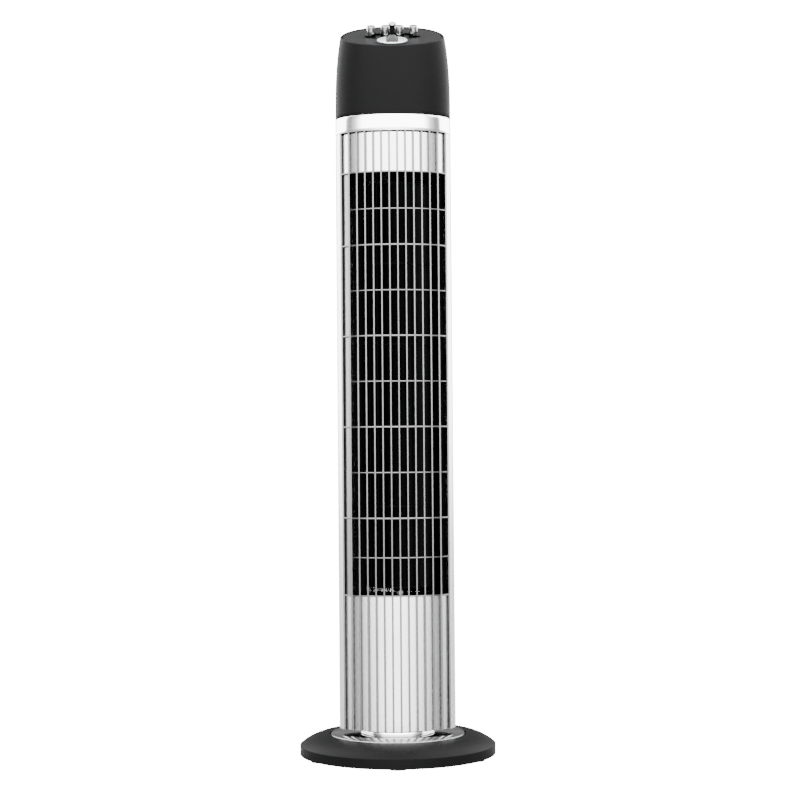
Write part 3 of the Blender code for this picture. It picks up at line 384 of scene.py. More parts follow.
# Painted shade: the base disc is bright silver, coloured much darker here to stand in for the dim
# reflections at its sides.
DISC_SILVER_PAINTED_SHADE = surface(
    "turned_silver_painted_shade", (0.19, 0.19, 0.192), roughness=0.17, metallic=1.0, vary=0.02, rough_vary=0.04,
    grain=900.0, relief=0.04,
)
CAP_BLACK = surface(
    "matte_black_cap", (0.0055, 0.0055, 0.0057), roughness=0.42, vary=0.06, rough_vary=0.04,
    grain=3200.0, relief=0.22, specular=0.022,
)
BASE_BLACK = surface(
    "matte_black_base", (0.0040, 0.0040, 0.0042), roughness=0.42, vary=0.06, rough_vary=0.04,
    grain=3000.0, relief=0.25, specular=0.02,
)
PANEL_GREY = surface(
    "grey_panel", (0.0100, 0.0100, 0.0103), roughness=0.44, vary=0.05, rough_vary=0.04, grain=3200.0,
    relief=0.18, specular=0.02,
)
DUCT_BLACK = surface(
    "duct_black", (0.0012, 0.0012, 0.0013), roughness=0.6, vary=0.1, rough_vary=0.05, grain=1200.0,
    relief=0.2, specular=0.01,
)
BLADE_BLACK = surface(
    "impeller_black", (0.0016, 0.0016, 0.0017), roughness=0.5, vary=0.1, rough_vary=0.05, grain=1200.0,
    relief=0.1, specular=0.015,
)
DIAL_WHITE = surface(
    "dial_silver_white", (0.93, 0.94, 0.95), roughness=0.20, metallic=0.25, vary=0.015, rough_vary=0.03,
    grain=1500.0, relief=0.03, coat=0.4,
)
GRIP_GREY = surface(
    "grip_grey", (0.012, 0.012, 0.0122), roughness=0.32, metallic=0.4, vary=0.05, rough_vary=0.03,
    grain=1500.0, relief=0.05, specular=0.15,
)
TEAL_RING = surface(
    "dark_teal_ring", (0.005, 0.010, 0.011), roughness=0.34, vary=0.08, rough_vary=0.03, grain=1500.0,
    relief=0.05, specular=0.02,
)
RUBBER = surface(
    "black_rubber", (0.006, 0.006, 0.006), roughness=0.75, vary=0.12, rough_vary=0.06, grain=900.0,
    relief=0.4, specular=0.1,
)
STEEL = surface(
    "plain_steel", (0.42, 0.42, 0.43), roughness=0.34, metallic=1.0, vary=0.08, rough_vary=0.08,
    grain=1500.0, relief=0.15, stretch=(1, 1, 0.1),
)
IRON = surface(
    "cast_iron", (0.05, 0.05, 0.052), roughness=0.60, metallic=0.6, vary=0.25, rough_vary=0.08,
    grain=500.0, relief=0.5,
)
MOULDED = surface(
    "moulded_black", (0.006, 0.006, 0.0062), roughness=0.52, vary=0.12, rough_vary=0.06, grain=1200.0,
    relief=0.2, specular=0.1,
)
ACETAL = surface(
    "natural_acetal", (0.60, 0.58, 0.52), roughness=0.38, vary=0.04, rough_vary=0.05, grain=900.0,
    relief=0.08,
)


# ---------------------------------------------------------------- top: cap, panel and controls
CAP_EDGE = 1.5 * MM
CAP_SIDE_STEPS = 18
CAP_EDGE_STEPS = 5
PANEL_INSET = 2.8 * MM
PANEL_THICK = 2.4 * MM
PANEL_EDGE = 0.3 * MM
PANEL_MIDDLE = 22 * MM


def panel_height(y):
    """The height of the sloping plane that the cap's rim lies in."""
    return PANEL_LEVEL + math.tan(PANEL_TILT) * y


def cap_scale(share):
    """How much smaller the cap's oval is at this share of its height."""
    return 1 - CAP_TAPER / HALF_WIDTH * share**CAP_TAPER_POWER


def set_row(obj, indices, inset, scale, height_of):
    """Lays one loop of vertices on the oval, at the height that height_of gives for its place."""
    for index in indices:
        vertex = obj.data.vertices[index]
        turn = math.atan2(vertex.co.y, vertex.co.x)
        x, y = wall_point(turn, inset, scale)
        vertex.co = (x, y, height_of(y))


LOFT_STEPS = 160


def oval_loft(rows):
    """Extrudes a circle once for each row and lays every loop on its (inset, scale, height) row."""
    begin()
    bpy.ops.mesh.primitive_circle_add(vertices=LOFT_STEPS, radius=1, location=(0, 0, 0))
    obj = bpy.context.object
    edit(obj)
    bpy.ops.mesh.select_all(action="SELECT")
    for _ in rows[1:]:
        bpy.ops.mesh.extrude_region_move(TRANSFORM_OT_translate={"value": (0, 0, 1)})
    begin()
    by_row = {}
    for vertex in obj.data.vertices:
        by_row.setdefault(round(vertex.co.z), []).append(vertex.index)
    for number, (inset, scale, height_of) in enumerate(rows):
        set_row(obj, by_row[number], inset, scale, height_of)
    return obj


def make_cap():
    """The shell: up the outside, round the rim, and back down the inside."""

    def side(share):
        return lambda y: CAP_BOTTOM + share * (panel_height(y) - CAP_EDGE - CAP_BOTTOM)

    def below_rim(drop):
        return lambda y: panel_height(y) - drop

    rows = [
        (WALL, 1.0, side(0.02)),
        (WALL, 1.0, side(0.0)),
        (0.5 * MM, 1.0, side(0.0)),
        (0.0, 1.0, side(0.006)),
    ]
    for step in range(1, CAP_SIDE_STEPS + 1):
        share = step / CAP_SIDE_STEPS
        rows.append((0.0, cap_scale(share), side(share)))
    for step in range(1, CAP_EDGE_STEPS + 1):
        turn = math.pi / 2 * step / CAP_EDGE_STEPS
        inset = CAP_EDGE * (1 - math.cos(turn))
        rows.append((inset, cap_scale(1), below_rim(CAP_EDGE * (1 - math.sin(turn)))))
    for inset, drop in ((2.0, 0.0), (2.15, 0.15), (2.2, 0.4), (2.2, 2.6)):
        rows.append((inset * MM, cap_scale(1), below_rim(drop * MM)))
    for share in (0.8, 0.6, 0.3, 0.02):
        rows.append((WALL, cap_scale(share), side(share)))
    cap = oval_loft(rows)
    weld(cap)
    smooth(cap, 50)
    done(cap, "cap_shell", CAP_BLACK, "column", "black_plastic", "top_cap")


def on_panel(obj, across, along):
    """Turns an upright piece square to the panel and sets it on the panel's face."""
    obj.rotation_euler = (PANEL_TILT, 0, 0)
    face = Vector((0, 0, PANEL_LEVEL - PANEL_SINK))
    turn = Matrix.Rotation(PANEL_TILT, 3, "X")
    obj.location = face + turn @ Vector((across, along, 0))
    settle(obj)
    return obj


BUTTON_PITCH = 14.6 * MM
BUTTON_BACK = 7.5 * MM
BUTTON_RADIUS = 5.0 * MM
BUTTON_TOP_RADIUS = 4.4 * MM
BUTTON_HEIGHT = 10.4 * MM
KNOB_BACK = 23.2 * MM
KNOB_STEM_RADIUS = 2.8 * MM
KNOB_HEIGHT = 10.6 * MM
STEM_DEPTH = 10.5 * MM
TIMER_FORWARD = 15.7 * MM
TIMER_STEM_RADIUS = 3.0 * MM
TIMER_STEM_DEPTH = 2.7 * MM
TIMER_RING_RADIUS = 18.5 * MM
DIAL_RADIUS = 15.7 * MM
DIAL_TOP = GAP + 0.6 * MM
GRIP_WIDTH = 13.3 * MM
GRIP_LENGTH = 19.8 * MM
GRIP_HEIGHT = 4.7 * MM
GRIP_CROWN = (0.42, 0.25)
GRIP_EDGE = 0.75 * MM


def make_panel():
    """The plate inside the rim, with a hole for each control."""
    face = -PANEL_SINK
    rows = [
        (PANEL_INSET, face - PANEL_THICK),
        (PANEL_INSET, face - PANEL_EDGE),
        (PANEL_INSET + PANEL_EDGE, face),
        (PANEL_INSET + 6 * MM, face),
        (PANEL_INSET + 14 * MM, face),
        (PANEL_INSET + PANEL_MIDDLE, face),
    ]
    plate = oval_loft([(i, cap_scale(1), lambda y, d=d: panel_height(y) + d) for i, d in rows])
    reach = wall_point(0, PANEL_INSET + PANEL_MIDDLE, cap_scale(1)).x + 0.1 * MM
    select_where(plate, lambda place, normal: math.hypot(place.x, place.y) < reach, "VERT")
    bpy.ops.mesh.edge_face_add()
    begin()
    under = face - 2 * MM
    select_where(plate, lambda place, normal: place.z < panel_height(place.y) + under, "VERT")
    bpy.ops.mesh.edge_face_add()
    begin()
    outward(plate)
    drills = []
    for across, along, radius in control_holes():
        begin()
        bpy.ops.mesh.primitive_cylinder_add(vertices=48, radius=radius, depth=20 * MM)
        drills.append(on_panel(bpy.context.object, across, along))
    for drill in drills:
        cut = plate.modifiers.new("hole", "BOOLEAN")
        cut.operation = "DIFFERENCE"
        cut.object = drill
    apply_all(plate)
    for drill in drills:
        bpy.data.objects.remove(drill, do_unlink=True)
    smooth(plate, 30)
    done(plate, "panel_plate", PANEL_GREY, "column", "panel_grey", "control_panel")


def control_holes():
    """The place of each hole in the panel, across and up its slope, and its radius."""
    holes = [((step - 1.5) * BUTTON_PITCH, BUTTON_BACK, BUTTON_RADIUS + GAP) for step in range(4)]
    holes.append((0, KNOB_BACK, KNOB_STEM_RADIUS + GAP))
    holes.append((0, -TIMER_FORWARD, TIMER_STEM_RADIUS + GAP))
    return holes


def make_buttons():
    """Four straight chrome pillars with a dished top, and behind them the knob on its stem."""
    top = BUTTON_HEIGHT
    profile = [
        (0, top - 0.30 * MM),
        (2.4 * MM, top - 0.25 * MM),
        (3.6 * MM, top - 0.05 * MM),
        (3.9 * MM, top),
        (4.15 * MM, top - 0.08 * MM),
        (BUTTON_TOP_RADIUS, top - 0.45 * MM),
        (BUTTON_TOP_RADIUS + 0.15 * MM, top - 2.8 * MM),
        (BUTTON_RADIUS, 0),
        (BUTTON_RADIUS, -STEM_DEPTH + 0.3 * MM),
        (BUTTON_RADIUS - 0.3 * MM, -STEM_DEPTH),
        (0, -STEM_DEPTH),
    ]
    for step, name in enumerate(["off_button", "speed_button_1", "speed_button_2", "speed_button_3"]):
        button = lathe(profile, steps=64)
        on_panel(button, (step - 1.5) * BUTTON_PITCH, BUTTON_BACK)
        smooth(button, 50)
        # The pillars take the darkened chrome, which is painted shade.
        done(button, name + "_cap", CHROME_PAINTED_SHADE, name, "bright_silver", name)
    top = KNOB_HEIGHT
    knob = lathe(
        [
            (0, top),
            (1.8 * MM, top - 0.08 * MM),
            (3.2 * MM, top - 0.45 * MM),
            (4.1 * MM, top - 1.2 * MM),
            (4.55 * MM, top - 2.1 * MM),
            (4.6 * MM, top - 2.7 * MM),
            (4.4 * MM, top - 3.5 * MM),
            (3.9 * MM, top - 4.0 * MM),
            (KNOB_STEM_RADIUS + 0.3 * MM, top - 4.2 * MM),
            (KNOB_STEM_RADIUS, top - 4.6 * MM),
            (KNOB_STEM_RADIUS, -STEM_DEPTH + 0.2 * MM),
            (KNOB_STEM_RADIUS - 0.2 * MM, -STEM_DEPTH),
            (0, -STEM_DEPTH),
        ],
        steps=64,
    )
    on_panel(knob, 0, KNOB_BACK)
    smooth(knob, 50)
    # The knob takes the same darkened chrome, which is painted shade.
    done(knob, "swing_knob_cap", CHROME_PAINTED_SHADE, "swing_knob", "bright_silver", "swing_knob")


def make_timer():
    """The dark ring on the panel, and the white dial that turns inside it."""
    ring_inner = DIAL_RADIUS + GAP
    ring = lathe(
        [
            (ring_inner, GAP),
            (ring_inner, 1.0 * MM),
            (ring_inner + 0.25 * MM, 1.2 * MM),
            (ring_inner + 1.1 * MM, 1.2 * MM),
            (ring_inner + 1.4 * MM, 0.85 * MM),
            (TIMER_RING_RADIUS - 0.6 * MM, 0.75 * MM),
            (TIMER_RING_RADIUS - 0.15 * MM, 0.62 * MM),
            (TIMER_RING_RADIUS, 0.45 * MM),
            (TIMER_RING_RADIUS, GAP),
        ],
        steps=128,
        closed=True,
    )
    on_panel(ring, 0, -TIMER_FORWARD)
    smooth(ring, 50)
    done(ring, "timer_surround", TEAL_RING, "column", "panel_grey", "timer_ring")
    top = DIAL_TOP
    dial = lathe(
        [
            (0, top),
            (6 * MM, top),
            (DIAL_RADIUS - 1.9 * MM, top),
            (DIAL_RADIUS - 1.7 * MM, top - 0.15 * MM),
            (DIAL_RADIUS - 1.4 * MM, top - 0.15 * MM),
            (DIAL_RADIUS - 1.2 * MM, top),
            (DIAL_RADIUS - 0.45 * MM, top),
            (DIAL_RADIUS - 0.1 * MM, top - 0.12 * MM),
            (DIAL_RADIUS, top - 0.35 * MM),
            (DIAL_RADIUS, GAP),
            (TIMER_STEM_RADIUS, GAP),
            (TIMER_STEM_RADIUS, -TIMER_STEM_DEPTH),
            (0, -TIMER_STEM_DEPTH),
        ],
        steps=128,
    )
    on_panel(dial, 0, -TIMER_FORWARD)
    smooth(dial, 40)
    done(dial, "timer_disc", DIAL_WHITE, "timer", "dial_white", "timer_dial")


def make_grip():
    """A wedge on the dial whose four faces lean in to a small crown, with rounded edges between them."""
    foot = DIAL_TOP + GAP
    begin()
    bpy.ops.mesh.primitive_cube_add(size=1)
    grip = bpy.context.object
    grip.scale = (GRIP_WIDTH, GRIP_LENGTH, GRIP_HEIGHT)
    grip.location = (0, 0, foot + GRIP_HEIGHT / 2)
    settle(grip)
    select_where(grip, lambda middle, normal: normal.z > 0.5)
    bpy.ops.transform.resize(value=(*GRIP_CROWN, 1), center_override=(0, 0, foot + GRIP_HEIGHT))
    begin()
    edges = grip.modifiers.new("edges", "BEVEL")
    edges.width = GRIP_EDGE
    edges.segments = 2
    apply_all(grip)
    on_panel(grip, 0, -TIMER_FORWARD)
    smooth(grip, 35)
    done(grip, "timer_wedge", GRIP_GREY, "timer", "silver_plastic", "timer_grip")


# ---------------------------------------------------------------- column: ring, grille, plates, housing
RING_WALL = 2.5 * MM
RING_EDGE = 0.5 * MM


def make_ring():
    """The polished band between the column and the cap."""
    wall, edge = RING_WALL, RING_EDGE
    rows = [
        (wall, RING_BOTTOM),
        (edge, RING_BOTTOM),
        (edge * 0.3, RING_BOTTOM + edge * 0.3),
        (0, RING_BOTTOM + edge),
        (0, RING_BOTTOM + 5 * MM),
        (0, RING_TOP - 5 * MM),
        (0, RING_TOP - edge),
        (edge * 0.3, RING_TOP - edge * 0.3),
        (edge, RING_TOP),
        (wall, RING_TOP),
        (wall, RING_BOTTOM),
    ]
    ring = oval_loft([(inset, 1.0, lambda y, level=level: level) for inset, level in rows])
    weld(ring)
    smooth(ring, 50)
    done(ring, "ring_band", BRIGHT_SILVER, "column", "bright_silver", "upper_ring")


MIDDLE_BAR = WINDOW_BOTTOM + 218.0 * MM
BAR_PITCH = 46.25 * MM
TOP_BAR_PITCH = 36.7 * MM
BOTTOM_BAR_PITCH = 39.7 * MM
EVEN_BARS_EACH_WAY = 3
THIN_BAR = 1.0 * MM
THICK_BAR = 1.5 * MM
BAR_DEPTH = 1.6 * MM
BAR_INSET = 1.3 * MM
CROSSING_BAR_INSET = 0.9 * MM
RIB_DEPTH = 3.2 * MM
RIB_ROUND = 0.75 * MM


def bar_levels():
    """The middle and height of each crossbar, lowest first, and whether it crosses the closed slot."""
    reach = EVEN_BARS_EACH_WAY
    bars = []
    for step in range(-reach, reach + 1):
        bars.append((MIDDLE_BAR + step * BAR_PITCH, THICK_BAR if step % 2 else THIN_BAR, bool(step % 2)))
    bars.append((MIDDLE_BAR - reach * BAR_PITCH - BOTTOM_BAR_PITCH, THIN_BAR, False))
    bars.append((MIDDLE_BAR + reach * BAR_PITCH + TOP_BAR_PITCH, THIN_BAR, False))
    bars.append((WINDOW_BOTTOM + THICK_BAR / 2, THICK_BAR, True))
    bars.append((WINDOW_TOP - THICK_BAR / 2, THICK_BAR, True))
    return sorted(bars)


def make_ribs():
    """Upright ribs that all point straight forward, with rounded fronts that follow the oval."""
    ribs = []
    for number in range(SLOTS + 1):
        x = (number - SLOTS / 2) * RIB_PITCH
        begin()
        bpy.ops.mesh.primitive_cube_add(size=1)
        rib = bpy.context.object
        near = min(abs(x) + RIB_WIDTH / 2, HALF_WIDTH * 0.999)
        front = -FRONT_DEPTH * math.sqrt(1 - (near / HALF_WIDTH) ** 2)
        rib.scale = (RIB_WIDTH, RIB_DEPTH, COLUMN_TOP - COLUMN_BOTTOM)
        rib.location = (x, front + RIB_DEPTH / 2, (COLUMN_TOP + COLUMN_BOTTOM) / 2)
        settle(rib)
        face_y = front + 0.1 * MM
        select_where(rib, lambda middle, line, y=face_y: middle.y < y and abs(line.z) > 0.1, "EDGE")
        bpy.ops.mesh.bevel(offset=RIB_ROUND, segments=4)
        begin()
        ribs.append(rib)
    return join(ribs)


def arc_bar(level, height, inset, depth, left, right):
    """One bent bar along the front of the oval."""
    bar = front_arc(inset, left, right, level - height / 2, 150)
    raise_wall(bar, (level - height / 2, level + height / 2))
    outward_front(bar)
    thicken(bar, depth)
    bevel(bar, height * 0.28, 40)
    return bar


def outward_front(obj):
    """Turns an open front sheet so that its faces point away from the column."""
    edit(obj)
    bpy.ops.mesh.select_all(action="SELECT")
    bpy.ops.mesh.normals_make_consistent(inside=False)
    begin()
    if sum(face.normal.dot(Vector((face.center.x, face.center.y, 0))) for face in obj.data.polygons) < 0:
        edit(obj)
        bpy.ops.mesh.select_all(action="SELECT")
        bpy.ops.mesh.flip_normals()
        begin()


def make_grille():
    """The ribs and the crossbars let into their fronts, as one piece."""
    ribs = make_ribs()
    edge = GRILLE_HALF - NODE_RIB_WIDTH / 2
    bars = []
    for level, height, across in bar_levels():
        left = -edge if across else -edge + RIB_PITCH
        inset = CROSSING_BAR_INSET if across else BAR_INSET
        bars.append(arc_bar(level, height, inset, BAR_DEPTH, left, edge))
    grille = join([ribs, *bars])
    smooth(grille, 40)
    # The ribs and bars take the darkened silver, which is painted shade.
    done(grille, "grille", RIB_SILVER_PAINTED_SHADE, "column", "silver_plastic", "front_grille")


PLATE_INSET = 3.35 * MM
PLATE_THICK = 1.4 * MM
PLATE_GAP = 1.0 * MM


def plate_sheet(left, right, bottom, top):
    """A plain curved plate behind the ribs."""
    sheet = front_arc(PLATE_INSET, left, right, bottom, 200)
    raise_wall(sheet, (bottom, bottom + 1 * MM, top - 1 * MM, top))
    outward_front(sheet)
    thicken(sheet, PLATE_THICK)
    smooth(sheet, 40)
    return sheet


def make_plates():
    """The plates above and below the window, and the strip that closes its leftmost slot."""
    edge = GRILLE_HALF - RIB_WIDTH
    upper = plate_sheet(-edge, edge, WINDOW_TOP, COLUMN_TOP - PLATE_GAP)
    done(upper, "upper_plate", SATIN_SILVER, "column", "silver_plastic", "upper_blank")
    lower = plate_sheet(-edge, edge, COLUMN_BOTTOM + GAP, WINDOW_BOTTOM)
    done(lower, "lower_plate", SATIN_SILVER, "column", "silver_plastic", "lower_blank")
    right = -edge + RIB_PITCH - RIB_WIDTH / 2
    strip = plate_sheet(-edge, right, WINDOW_BOTTOM + GAP, WINDOW_TOP - GAP)
    # The strip takes the darkened silver, which is painted shade.
    done(strip, "closed_slot_strip", STRIP_SILVER_PAINTED_SHADE, "column", "silver_plastic", "side_strip")


INTAKE_COLUMNS = 9
INTAKE_PITCH = 9 * MM
INTAKE_WIDTH = 4.2 * MM
INTAKE_ROWS = 5
INTAKE_LENGTH = 70 * MM
INTAKE_ROW_PITCH = 81.5 * MM
INTAKE_SILL = 10 * MM
HANDLE_TOP = COLUMN_TOP - 3.5 * MM
HANDLE_HEIGHT = 24 * MM
SIDE_SEAM_TURN = math.acos(GRILLE_HALF / HALF_WIDTH) - math.radians(0.5)


def in_handle(place):
    """Whether the place lies in the opening of the carrying recess."""
    half = INTAKE_COLUMNS // 2 * INTAKE_PITCH - INTAKE_WIDTH / 2
    return place.y > 0 and abs(place.x) < half and HANDLE_TOP - HANDLE_HEIGHT < place.z < HANDLE_TOP


def in_intake(place):
    """Whether the place lies in one of the intake slots of the back."""
    if place.y < 0:
        return False
    column = round(place.x / INTAKE_PITCH)
    if abs(column) > INTAKE_COLUMNS // 2 or abs(place.x - column * INTAKE_PITCH) > INTAKE_WIDTH / 2:
        return False
    from_sill = place.z - WINDOW_BOTTOM - INTAKE_SILL
    row = math.floor(from_sill / INTAKE_ROW_PITCH)
    return 0 <= row < INTAKE_ROWS and from_sill - row * INTAKE_ROW_PITCH < INTAKE_LENGTH


def make_housing():
    """The shell round the sides and the back, with the intake slots and the handle's opening cut out."""
    seam_x = HALF_WIDTH * math.cos(SIDE_SEAM_TURN)
    seam_y = -FRONT_DEPTH * math.sin(SIDE_SEAM_TURN)
    shell = oval_ring(0, COLUMN_BOTTOM, 240)
    keep_part(shell, lambda place: place.y > seam_y - 3 * MM)
    keep_part(shell, lambda place: place.y >= 0 or abs(place.x) >= seam_x - 4 * MM)
    cut_at(shell, 1, seam_y, clear_low=True)
    raise_wall(shell, (COLUMN_BOTTOM, COLUMN_BOTTOM + 1 * MM, COLUMN_TOP - 1 * MM, COLUMN_TOP))
    for row in range(INTAKE_ROWS):
        sill = WINDOW_BOTTOM + INTAKE_SILL + row * INTAKE_ROW_PITCH
        cut_at(shell, 2, sill)
        cut_at(shell, 2, sill + INTAKE_LENGTH)
    cut_at(shell, 2, HANDLE_TOP)
    cut_at(shell, 2, HANDLE_TOP - HANDLE_HEIGHT)
    for column in range(INTAKE_COLUMNS):
        middle = (column - INTAKE_COLUMNS // 2) * INTAKE_PITCH
        cut_at(shell, 0, middle - INTAKE_WIDTH / 2)
        cut_at(shell, 0, middle + INTAKE_WIDTH / 2)
    select_where(shell, lambda middle, normal: in_handle(middle) or in_intake(middle))
    bpy.ops.mesh.delete(type="FACE")
    begin()
    outward_front(shell)
    thicken(shell, WALL)
    bevel(shell, 0.25 * MM, 50)
    smooth(shell, 40)
    done(shell, "housing_shell", SATIN_SILVER, "column", "silver_plastic", "rear_housing")


# ---------------------------------------------------------------- base
BASE_RIM = 9.9 * MM
BASE_WALL = 2.4 * MM
DOME_EDGE_SLOPE = math.radians(39)
DOME_SPAN = 30 * MM
DOME_STEPS = 22
DISC_GAP = 1.2 * MM
DISC_SEAT_DEPTH = 3.0 * MM
POST_HOLE_RADIUS = 8 * MM


def make_dome():
    """The black cover: an arc that falls away to an upright rim, and a sunk seat for the disc."""
    radius = high("base_cover").x
    rim_bottom = low("base_cover").z
    dome_top = high("base_cover").z
    rim_top = rim_bottom + BASE_RIM
    wall = BASE_WALL
    recess = high("base_trim").x + DISC_GAP
    seat = dome_top - DISC_SEAT_DEPTH

    def arc(outer, drop):
        points = []
        for step in range(DOME_STEPS + 1):
            slope = DOME_EDGE_SLOPE * step / DOME_STEPS
            reach = math.sin(slope) / math.sin(DOME_EDGE_SLOPE)
            fall = (1 - math.cos(slope)) / (1 - math.cos(DOME_EDGE_SLOPE))
            place = radius - DOME_SPAN + (outer - radius + DOME_SPAN) * reach
            points.append((place, dome_top - drop - (dome_top - rim_top) * fall))
        return points

    profile = arc(radius, 0)
    profile += [(radius, rim_bottom + 0.5 * MM), (radius - 0.5 * MM, rim_bottom)]
    profile += [(radius - wall, rim_bottom)]
    profile += arc(radius - wall, wall)[::-1]
    profile += [(recess - 2 * wall, seat - wall), (POST_HOLE_RADIUS, seat - wall)]
    profile += [(POST_HOLE_RADIUS, seat), (recess, seat)]
    profile += [(recess, dome_top - 0.4 * MM), (recess + 0.3 * MM, dome_top)]
    dome = lathe(profile, steps=160, closed=True)
    smooth(dome, 40)
    done(dome, "base_dome", BASE_BLACK, "base", "black_plastic", "base_cover")


def make_disc():
    """The turned disc let into the cover, with one groove and a rounded edge."""
    radius, top, bottom = high("base_trim").x, high("base_trim").z, low("base_trim").z
    disc = lathe(
        [
            (POST_HOLE_RADIUS, bottom),
            (POST_HOLE_RADIUS, top),
            (radius - 4.0 * MM, top),
            (radius - 3.7 * MM, top - 0.25 * MM),
            (radius - 3.2 * MM, top - 0.25 * MM),
            (radius - 2.9 * MM, top),
            (radius - 1.3 * MM, top),
            (radius - 0.9 * MM, top - 0.15 * MM),
            (radius - 0.1 * MM, top - 1.1 * MM),
            (radius, top - 1.4 * MM),
            (radius, bottom),
        ],
        steps=160,
        closed=True,
    )
    smooth(disc, 40)
    # The disc takes the darkened silver, which is painted shade.
    done(disc, "base_disc", DISC_SILVER_PAINTED_SHADE, "base", "bright_silver", "base_trim")


def make_neck():
    """The bright ring that covers the swivel between the column and the disc."""
    neck_low, neck_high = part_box("neck_collar")
    outer = neck_high.x
    neck = lathe(
        [
            (outer - 4.5 * MM, neck_low.z),
            (outer - 4.5 * MM, neck_high.z),
            (outer - 0.8 * MM, neck_high.z),
            (outer - 0.2 * MM, neck_high.z - 0.2 * MM),
            (outer, neck_high.z - 0.8 * MM),
            (outer, neck_low.z + 0.5 * MM),
            (outer - 0.4 * MM, neck_low.z),
        ],
        steps=128,
        closed=True,
    )
    smooth(neck, 40)
    done(neck, "neck_ring", BRIGHT_SILVER, "column", "bright_silver", "neck_collar")


# ---------------------------------------------------------------- impeller seen through the grille
WHEEL_CELLS = 5
WHEEL_DISC = 1.6 * MM
WHEEL_FOOT = 8.2 * MM
WHEEL_RIM_WIDTH = 10 * MM
MOTOR_SHAFT_HOLE = 4.3 * MM
STUB_SHAFT_HOLE = 3.3 * MM
HUB_RADIUS = 8.3 * MM
BLADES = 28
BLADE_INNER = 8.6 * MM
BLADE_REACH = 8.2 * MM
BLADE_SWEEP = 0.20
BLADE_LEAD = 0.02
BLADE_THICK = 0.8 * MM


def make_impeller():
    """The cross-flow wheel: a disc or ring between its cells, a hub below, and curved blades."""
    node_low, node_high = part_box("impeller")
    centre = (node_low.x + node_high.x) / 2, (node_low.y + node_high.y) / 2
    radius = (node_high.x - node_low.x) / 2
    bottom = WINDOW_BOTTOM - GAP + WHEEL_FOOT
    top = node_high.z
    disc = WHEEL_DISC
    pitch = (top - bottom - disc) / WHEEL_CELLS
    holes = [MOTOR_SHAFT_HOLE, *[radius - WHEEL_RIM_WIDTH] * (WHEEL_CELLS - 1), STUB_SHAFT_HOLE]
    parts = []
    for step, inner in enumerate(holes):
        level = bottom + step * pitch
        profile = [
            (inner, level),
            (inner, level + disc),
            (radius - 0.3 * MM, level + disc),
            (radius, level + disc - 0.3 * MM),
            (radius, level + 0.3 * MM),
            (radius - 0.3 * MM, level),
        ]
        parts.append(lathe(profile, steps=72, centre=centre, closed=True))
    hub_top = bottom + 0.1 * MM
    profile = [
        (MOTOR_SHAFT_HOLE, node_low.z),
        (MOTOR_SHAFT_HOLE, hub_top),
        (HUB_RADIUS, hub_top),
        (HUB_RADIUS, node_low.z),
    ]
    parts.append(lathe(profile, steps=48, centre=centre, closed=True))
    for number in range(BLADES):
        begin()
        bpy.ops.mesh.primitive_grid_add(x_subdivisions=4, y_subdivisions=1, size=1)
        blade = bpy.context.object
        for vertex in blade.data.vertices:
            share = vertex.co.x + 0.5
            reach = radius - BLADE_INNER + BLADE_REACH * share
            sweep = BLADE_SWEEP * share * share - BLADE_LEAD + 2 * math.pi * number / BLADES
            place = Vector((reach * math.cos(sweep), reach * math.sin(sweep)))
            level = bottom + disc * 0.5 + (vertex.co.y + 0.5) * (top - bottom - disc)
            vertex.co = (centre[0] + place.x, centre[1] + place.y, level)
        thicken(blade, BLADE_THICK, 0.0)
        parts.append(blade)
    impeller = join(parts)
    outward(impeller)
    smooth(impeller, 40)
    done(impeller, "impeller_wheel", BLADE_BLACK, "impeller", "dark_plastic", "impeller")


# ---------------------------------------------------------------- nodes that keep their shape
def finish_nodes():
    """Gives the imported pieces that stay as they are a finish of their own."""
    screws = [f"housing_screw_{number}" for number in range(1, 5)]
    screws += [f"base_screw_{number}" for number in range(1, 4)]
    feet = [f"rubber_foot_{number}" for number in range(1, 7)]
    duct = ["air_scroll", "air_tongue", "bearing_plate", "duct_floor", "stub_shaft", "bearing_bush"]
    controls = ["speed_switch", "swing_switch", "timer_body"]
    plain = {
        STEEL: ["motor_rotor", "motor_lower_shield", "post_retainer", "swing_motor", *screws],
        IRON: ["motor_stator", "base_weight"],
        RUBBER: ["cord_gland", *feet],
        ACETAL: ["swivel_post", "slip_washer", "swing_yoke", "swing_crank"],
        DUCT_BLACK: [*duct, "motor_plate", "motor_upper_shield"],
        MOULDED: ["column_lid", "column_floor", "base_plate", *controls, "motor_capacitor"],
        CAP_BLACK: ["carry_handle"],
    }
    for material, names in plain.items():
        for name in names:
            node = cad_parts[name]
            node.data.materials.clear()
            node.data.materials.append(material)


# ---------------------------------------------------------------- studio
CAMERA_DISTANCE = 1.831
CAMERA_HEIGHT = 0.309
CAMERA_SIDE = 0.005
CAMERA_LENS = 80.0
CAMERA_PITCH = math.radians(1.675)
CAMERA_ROLL = math.radians(-0.468)


def make_camera():
    data = bpy.data.cameras.new("camera")
    data.lens = CAMERA_LENS
    data.sensor_width = 36.0
    camera = bpy.data.objects.new("camera", data)
    bpy.context.scene.collection.objects.link(camera)
    turn = Matrix.Rotation(math.pi / 2 + CAMERA_PITCH, 4, "X") @ Matrix.Rotation(CAMERA_ROLL, 4, "Z")
    camera.matrix_world = Matrix.Translation((CAMERA_SIDE, -CAMERA_DISTANCE, CAMERA_HEIGHT)) @ turn
    bpy.context.scene.camera = camera


